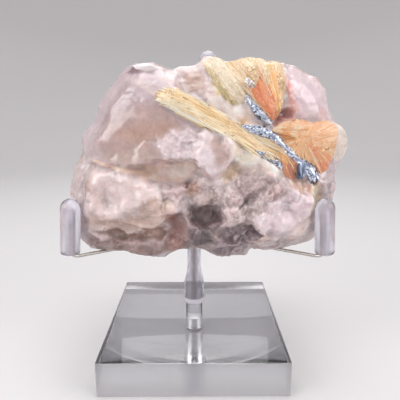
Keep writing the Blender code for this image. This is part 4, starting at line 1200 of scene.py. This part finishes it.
for name, fan in FANS.items():
    draw = random.Random(fan["seed"])
    shares = [ray[3] for ray in fan["rays"]]
    laid = []
    while len(laid) < fan["count"]:
        root, angles, (near, far), _ = draw.choices(fan["rays"], shares)[0]
        turn = draw.uniform(*angles)
        ahead = turned(Vector((1, 0)), turn)
        middle = Vector(root) + ahead * math.sqrt(draw.uniform(near * near, far * far))
        if inside(middle, fan["outline"]) < FAN_MARGIN:
            continue
        ahead = turned(ahead, draw.gauss(0, 1.5))
        colour, within, clear_of = fan_look(name, middle, turn, draw)
        reach = draw.uniform(*fan["length"]) / 2
        # A needle that leaves its area at one end slides back along itself, and at both ends gets shorter
        for _ in range(16):
            over = []
            for end in (middle - ahead * reach, middle + ahead * reach):
                beyond = [-FAN_OVERHANG - inside(end, outline) for outline in [fan["outline"], *within]]
                over.append(max(beyond + [inside(end, outline) - FAN_OVERHANG / 2 for outline in clear_of]))
            if max(over) <= 0:
                break
            if min(over) > 0:
                reach *= 0.85
            else:
                middle = middle - ahead * (FAN_STEP if over[1] > 0 else -FAN_STEP)
        width = draw.uniform(*fan["width"])
        lift = 0.15 * noise.noise(Vector((turn * 0.3, 2.5, 0))) + draw.uniform(0, 0.1)
        one = lay_needle(draw, middle - ahead * reach, middle + ahead * reach, width, lift, colour, 0.5)
        if one is not None:
            laid.append(one)
    made = join_copies(name, needle_points, needle_faces, laid)
    hand_over(made, rutile, "rutile", fan["node"])

# The hematite
# Iron oxide in thin six-sided plates, grown over each other in seams between the rutile. One bevelled plate
# is modelled, and joined copies of it lie along each seam at their own tilts.
PLATE_SIDES = 6
PLATE_THICKNESS = 0.2
BLADE_THICKNESS = 0.35
# Plate colours from dark to light over steel grey: the darker ones are painted dark reflections
HEMATITE_AND_PAINTED_REFLECTIONS = ["4A4F60", "9CA7C1", "BEC8DE", "DAE1F0", "F7F9FD"]

only(camera)
bpy.ops.mesh.primitive_cylinder_add(vertices=PLATE_SIDES, radius=1.0, depth=1.0, end_fill_type="NGON")
plate = bpy.context.object
bpy.ops.object.mode_set(mode="EDIT")
plate_mesh = bmesh.from_edit_mesh(plate.data)
for face in plate_mesh.faces:
    face.select_set(abs(face.normal.z) > 0.9)
bpy.ops.mesh.extrude_region_move(TRANSFORM_OT_translate={"value": (0, 0, 0)})
bpy.ops.transform.resize(value=(0.82, 0.82, 1.4), center_override=(0, 0, 0))
bpy.ops.mesh.select_all(action="SELECT")
bpy.ops.mesh.quads_convert_to_tris()
bpy.ops.object.mode_set(mode="OBJECT")
plate_points = read_points(plate.data)
plate_faces = np.array([list(face.vertices) for face in plate.data.polygons])
bpy.data.objects.remove(plate)

# Each seam: its node, its line (x, z, half width), and the plates' sizes in millimetres. The long blades
# are given as (x, z) of both ends, a half width, how light they are (partly a painted reflection) and how far
# they stand out.
SEAMS = {
    "hematite_plates_tuft": {
        "node": "hematite_tuft", "line": [(11.8, 24.5, 0.6), (12.6, 23.1, 1.2), (13.7, 21.8, 0.7)],
        "count": 90, "size": (0.16, 0.45), "tilt": 0.6, "blades": [], "seed": 21,
    },
    "hematite_plates_blade": {
        "node": "hematite_blade",
        "line": [(12.0, 19.2, 0.2), (12.4, 17.2, 0.4), (14.0, 15.2, 0.9), (16.5, 13.0, 1.1),
                 (19.3, 10.8, 0.7)],
        "count": 180, "size": (0.18, 0.5), "tilt": 0.4,
        "blades": [((14.4, 14.6), (18.2, 12.0), 0.6, 0.8, 0.45),
                   ((15.6, 13.0), (19.4, 10.3), 0.7, 0.9, 0.45)],
        "seed": 22,
    },
    "hematite_plates_vein": {
        "node": "hematite_vein",
        "line": [(10.4, 9.5, 0.5), (12.8, 9.1, 1.0), (15.5, 8.3, 1.5), (18.2, 7.6, 1.2), (21.0, 5.7, 0.8),
                 (23.5, 3.4, 0.8), (25.8, 1.1, 0.8), (28.2, -0.9, 0.9), (30.8, -2.8, 1.6), (32.8, -5.0, 1.8),
                 (34.0, -7.8, 1.2)],
        "count": 760, "size": (0.18, 0.52), "tilt": 0.5,
        "blades": [((17.4, 8.4), (20.8, 5.8), 0.6, 0.5, 0.45), ((20.2, 6.4), (23.4, 3.6), 0.5, 0.7, 0.45),
                   ((22.8, 4.0), (26.0, 1.0), 0.5, 0.6, 0.45), ((25.4, 1.4), (28.4, -1.0), 0.5, 0.5, 0.45),
                   ((28.6, -0.4), (28.4, -5.6), 0.9, 0.12, 1.0),
                   ((29.6, -0.6), (29.3, -5.4), 0.9, 0.16, 0.95),
                   ((28.5, -2.4), (28.2, -6.9), 0.9, 0.14, 0.85),
                   ((29.4, -2.4), (29.1, -6.8), 0.9, 0.12, 0.8),
                   ((31.6, -3.0), (33.4, -5.4), 0.6, 0.7, 0.45)],
        "seed": 23,
    },
    "hematite_plates_seam": {
        "node": "hematite_seam",
        "line": [(14.0, 2.0, 0.3), (17.2, 0.8, 0.8), (20.2, -0.9, 0.9), (22.8, -2.9, 0.5)],
        "count": 150, "size": (0.16, 0.42), "tilt": 0.5, "blades": [], "seed": 24,
    },
}

# Specular hematite has the cold blue-grey mirror shine of steel, broken by dark gaps between the plates,
# where the quartz below is painted shade, by darker plates painted as dark reflections, and by pits of about
# 0.5 mm.
hematite, tree, shader = start_material("specular hematite, plates", {"Metallic": 1.0, "Roughness": 0.3})
cover_in_flecks(tree, shader, {"Scale": 2200.0, "Detail": 3.0}, (0.75, 1.2), (0.2, 0.45), 0.2)


def lay_plate(where, ahead, facing, size, length, thickness, colour):
    """One plate at that point, longer along ahead, and facing that way."""
    along = Vector((ahead.x, 0, ahead.y))
    along = (along - facing * along.dot(facing)).normalized()
    return where, along.cross(facing) * size, along * length, facing * thickness, colour


for name, seam in SEAMS.items():
    draw = random.Random(seam["seed"])
    laid = []
    while len(laid) < seam["count"]:
        middle, half, ahead = along_stations(seam["line"], draw.random())
        middle = middle + Vector((-ahead.y, ahead.x)) * draw.uniform(-1, 1) * half
        hit = face_at(*middle)
        if hit is None:
            continue
        size = draw.uniform(*seam["size"])
        facing = Vector((draw.gauss(0, seam["tilt"]), -1, draw.gauss(0, seam["tilt"]))).normalized()
        ahead = turned(ahead, draw.gauss(0, 30))
        # Each plate's shade is drawn from the palette, partly as a painted reflection
        colour = from_palette(HEMATITE_AND_PAINTED_REFLECTIONS, draw.uniform(0, 1) ** 0.75)
        where = hit + Vector((0, -draw.uniform(-0.1, 0.35), 0))
        length = size * draw.uniform(0.9, 1.6)
        laid.append(lay_plate(where, ahead, facing, size * 0.8, length, PLATE_THICKNESS, colour))
    for start, end, half, share, lift in seam["blades"]:
        a, b = face_at(*start), face_at(*end)
        ahead = Vector(end) - Vector(start)
        facing = Vector((draw.uniform(-0.2, 0.2), -1, draw.uniform(0.1, 0.5))).normalized()
        where = (a + b) / 2 + Vector((0, -lift, 0))
        colour = from_palette(HEMATITE_AND_PAINTED_REFLECTIONS, share)
        laid.append(lay_plate(where, ahead, facing, half, ahead.length / 2, BLADE_THICKNESS, colour))
    made = join_copies(name, plate_points, plate_faces, laid)
    hand_over(made, hematite, "hematite", seam["node"])

# The studio
# A plain pale paper floor that sweeps up all round, with four large soft lights, as over a photographer's
# table: one on each side, one above the stone and one high behind it.
FLOOR_RADIUS = 480.0
FLOOR_DROP = 0.1
FLOOR = "D4D2D3"
SKY = "ECEAEC"
SKY_STRENGTH = 0.5
SWEEP = [(560.0, 12.0), (640.0, 50.0), (710.0, 115.0), (755.0, 200.0), (780.0, 320.0), (790.0, 900.0)]
# Each light: where it is, the side of its square, in millimetres, and its power in watts
LIGHTS = {
    "left": ((-400.0, -240.0, 320.0), 360.0, 1.4),
    "right": ((410.0, -220.0, 290.0), 360.0, 1.2),
    "above": ((0.0, -60.0, 560.0), 420.0, 1.35),
    "behind": ((0.0, 330.0, 520.0), 420.0, 1.0),
}
AIM = Vector((5.0, -8.0, 65.0))

only(camera)
bpy.ops.mesh.primitive_circle_add(
    vertices=96, radius=FLOOR_RADIUS * MM, fill_type="NGON", location=(0, 0, -FLOOR_DROP * MM)
)
floor = bpy.context.object
bpy.ops.object.mode_set(mode="EDIT")
bpy.ops.mesh.select_all(action="DESELECT")
floor_mesh = bmesh.from_edit_mesh(floor.data)
for edge in floor_mesh.edges:
    edge.select_set(True)
radius, height = FLOOR_RADIUS, 0.0
bpy.ops.mesh.select_mode(type="EDGE")
for next_radius, next_height in SWEEP:
    bpy.ops.mesh.extrude_edges_move(TRANSFORM_OT_translate={"value": (0, 0, (next_height - height) * MM)})
    share = next_radius / radius
    bpy.ops.transform.resize(value=(share, share, 1), center_override=(0, 0, next_height * MM))
    radius, height = next_radius, next_height
bpy.ops.object.mode_set(mode="OBJECT")
finish_shape(floor, "studio_floor", 60)
paper, tree, shader = start_material("pale paper sweep", {"Base Color": linear(FLOOR), "Roughness": 0.6})
floor.data.materials.append(paper)

for name, (where, size, power) in LIGHTS.items():
    light = bpy.data.lights.new("softbox " + name, "AREA")
    light.size = size * MM
    light.energy = power
    lamp = bpy.data.objects.new(light.name, light)
    lamp.location = Vector(where) * MM
    lamp.rotation_euler = (AIM - Vector(where)).to_track_quat("-Z", "Y").to_euler()
    bpy.context.scene.collection.objects.link(lamp)

world = bpy.data.worlds.new("studio")
world.use_nodes = True
sky = world.node_tree.nodes["Background"]
sky.inputs["Color"].default_value = linear(SKY)
sky.inputs["Strength"].default_value = SKY_STRENGTH
bpy.context.scene.world = world
bpy.context.scene.view_settings.view_transform = "Standard"

bpy.context.view_layer.update()
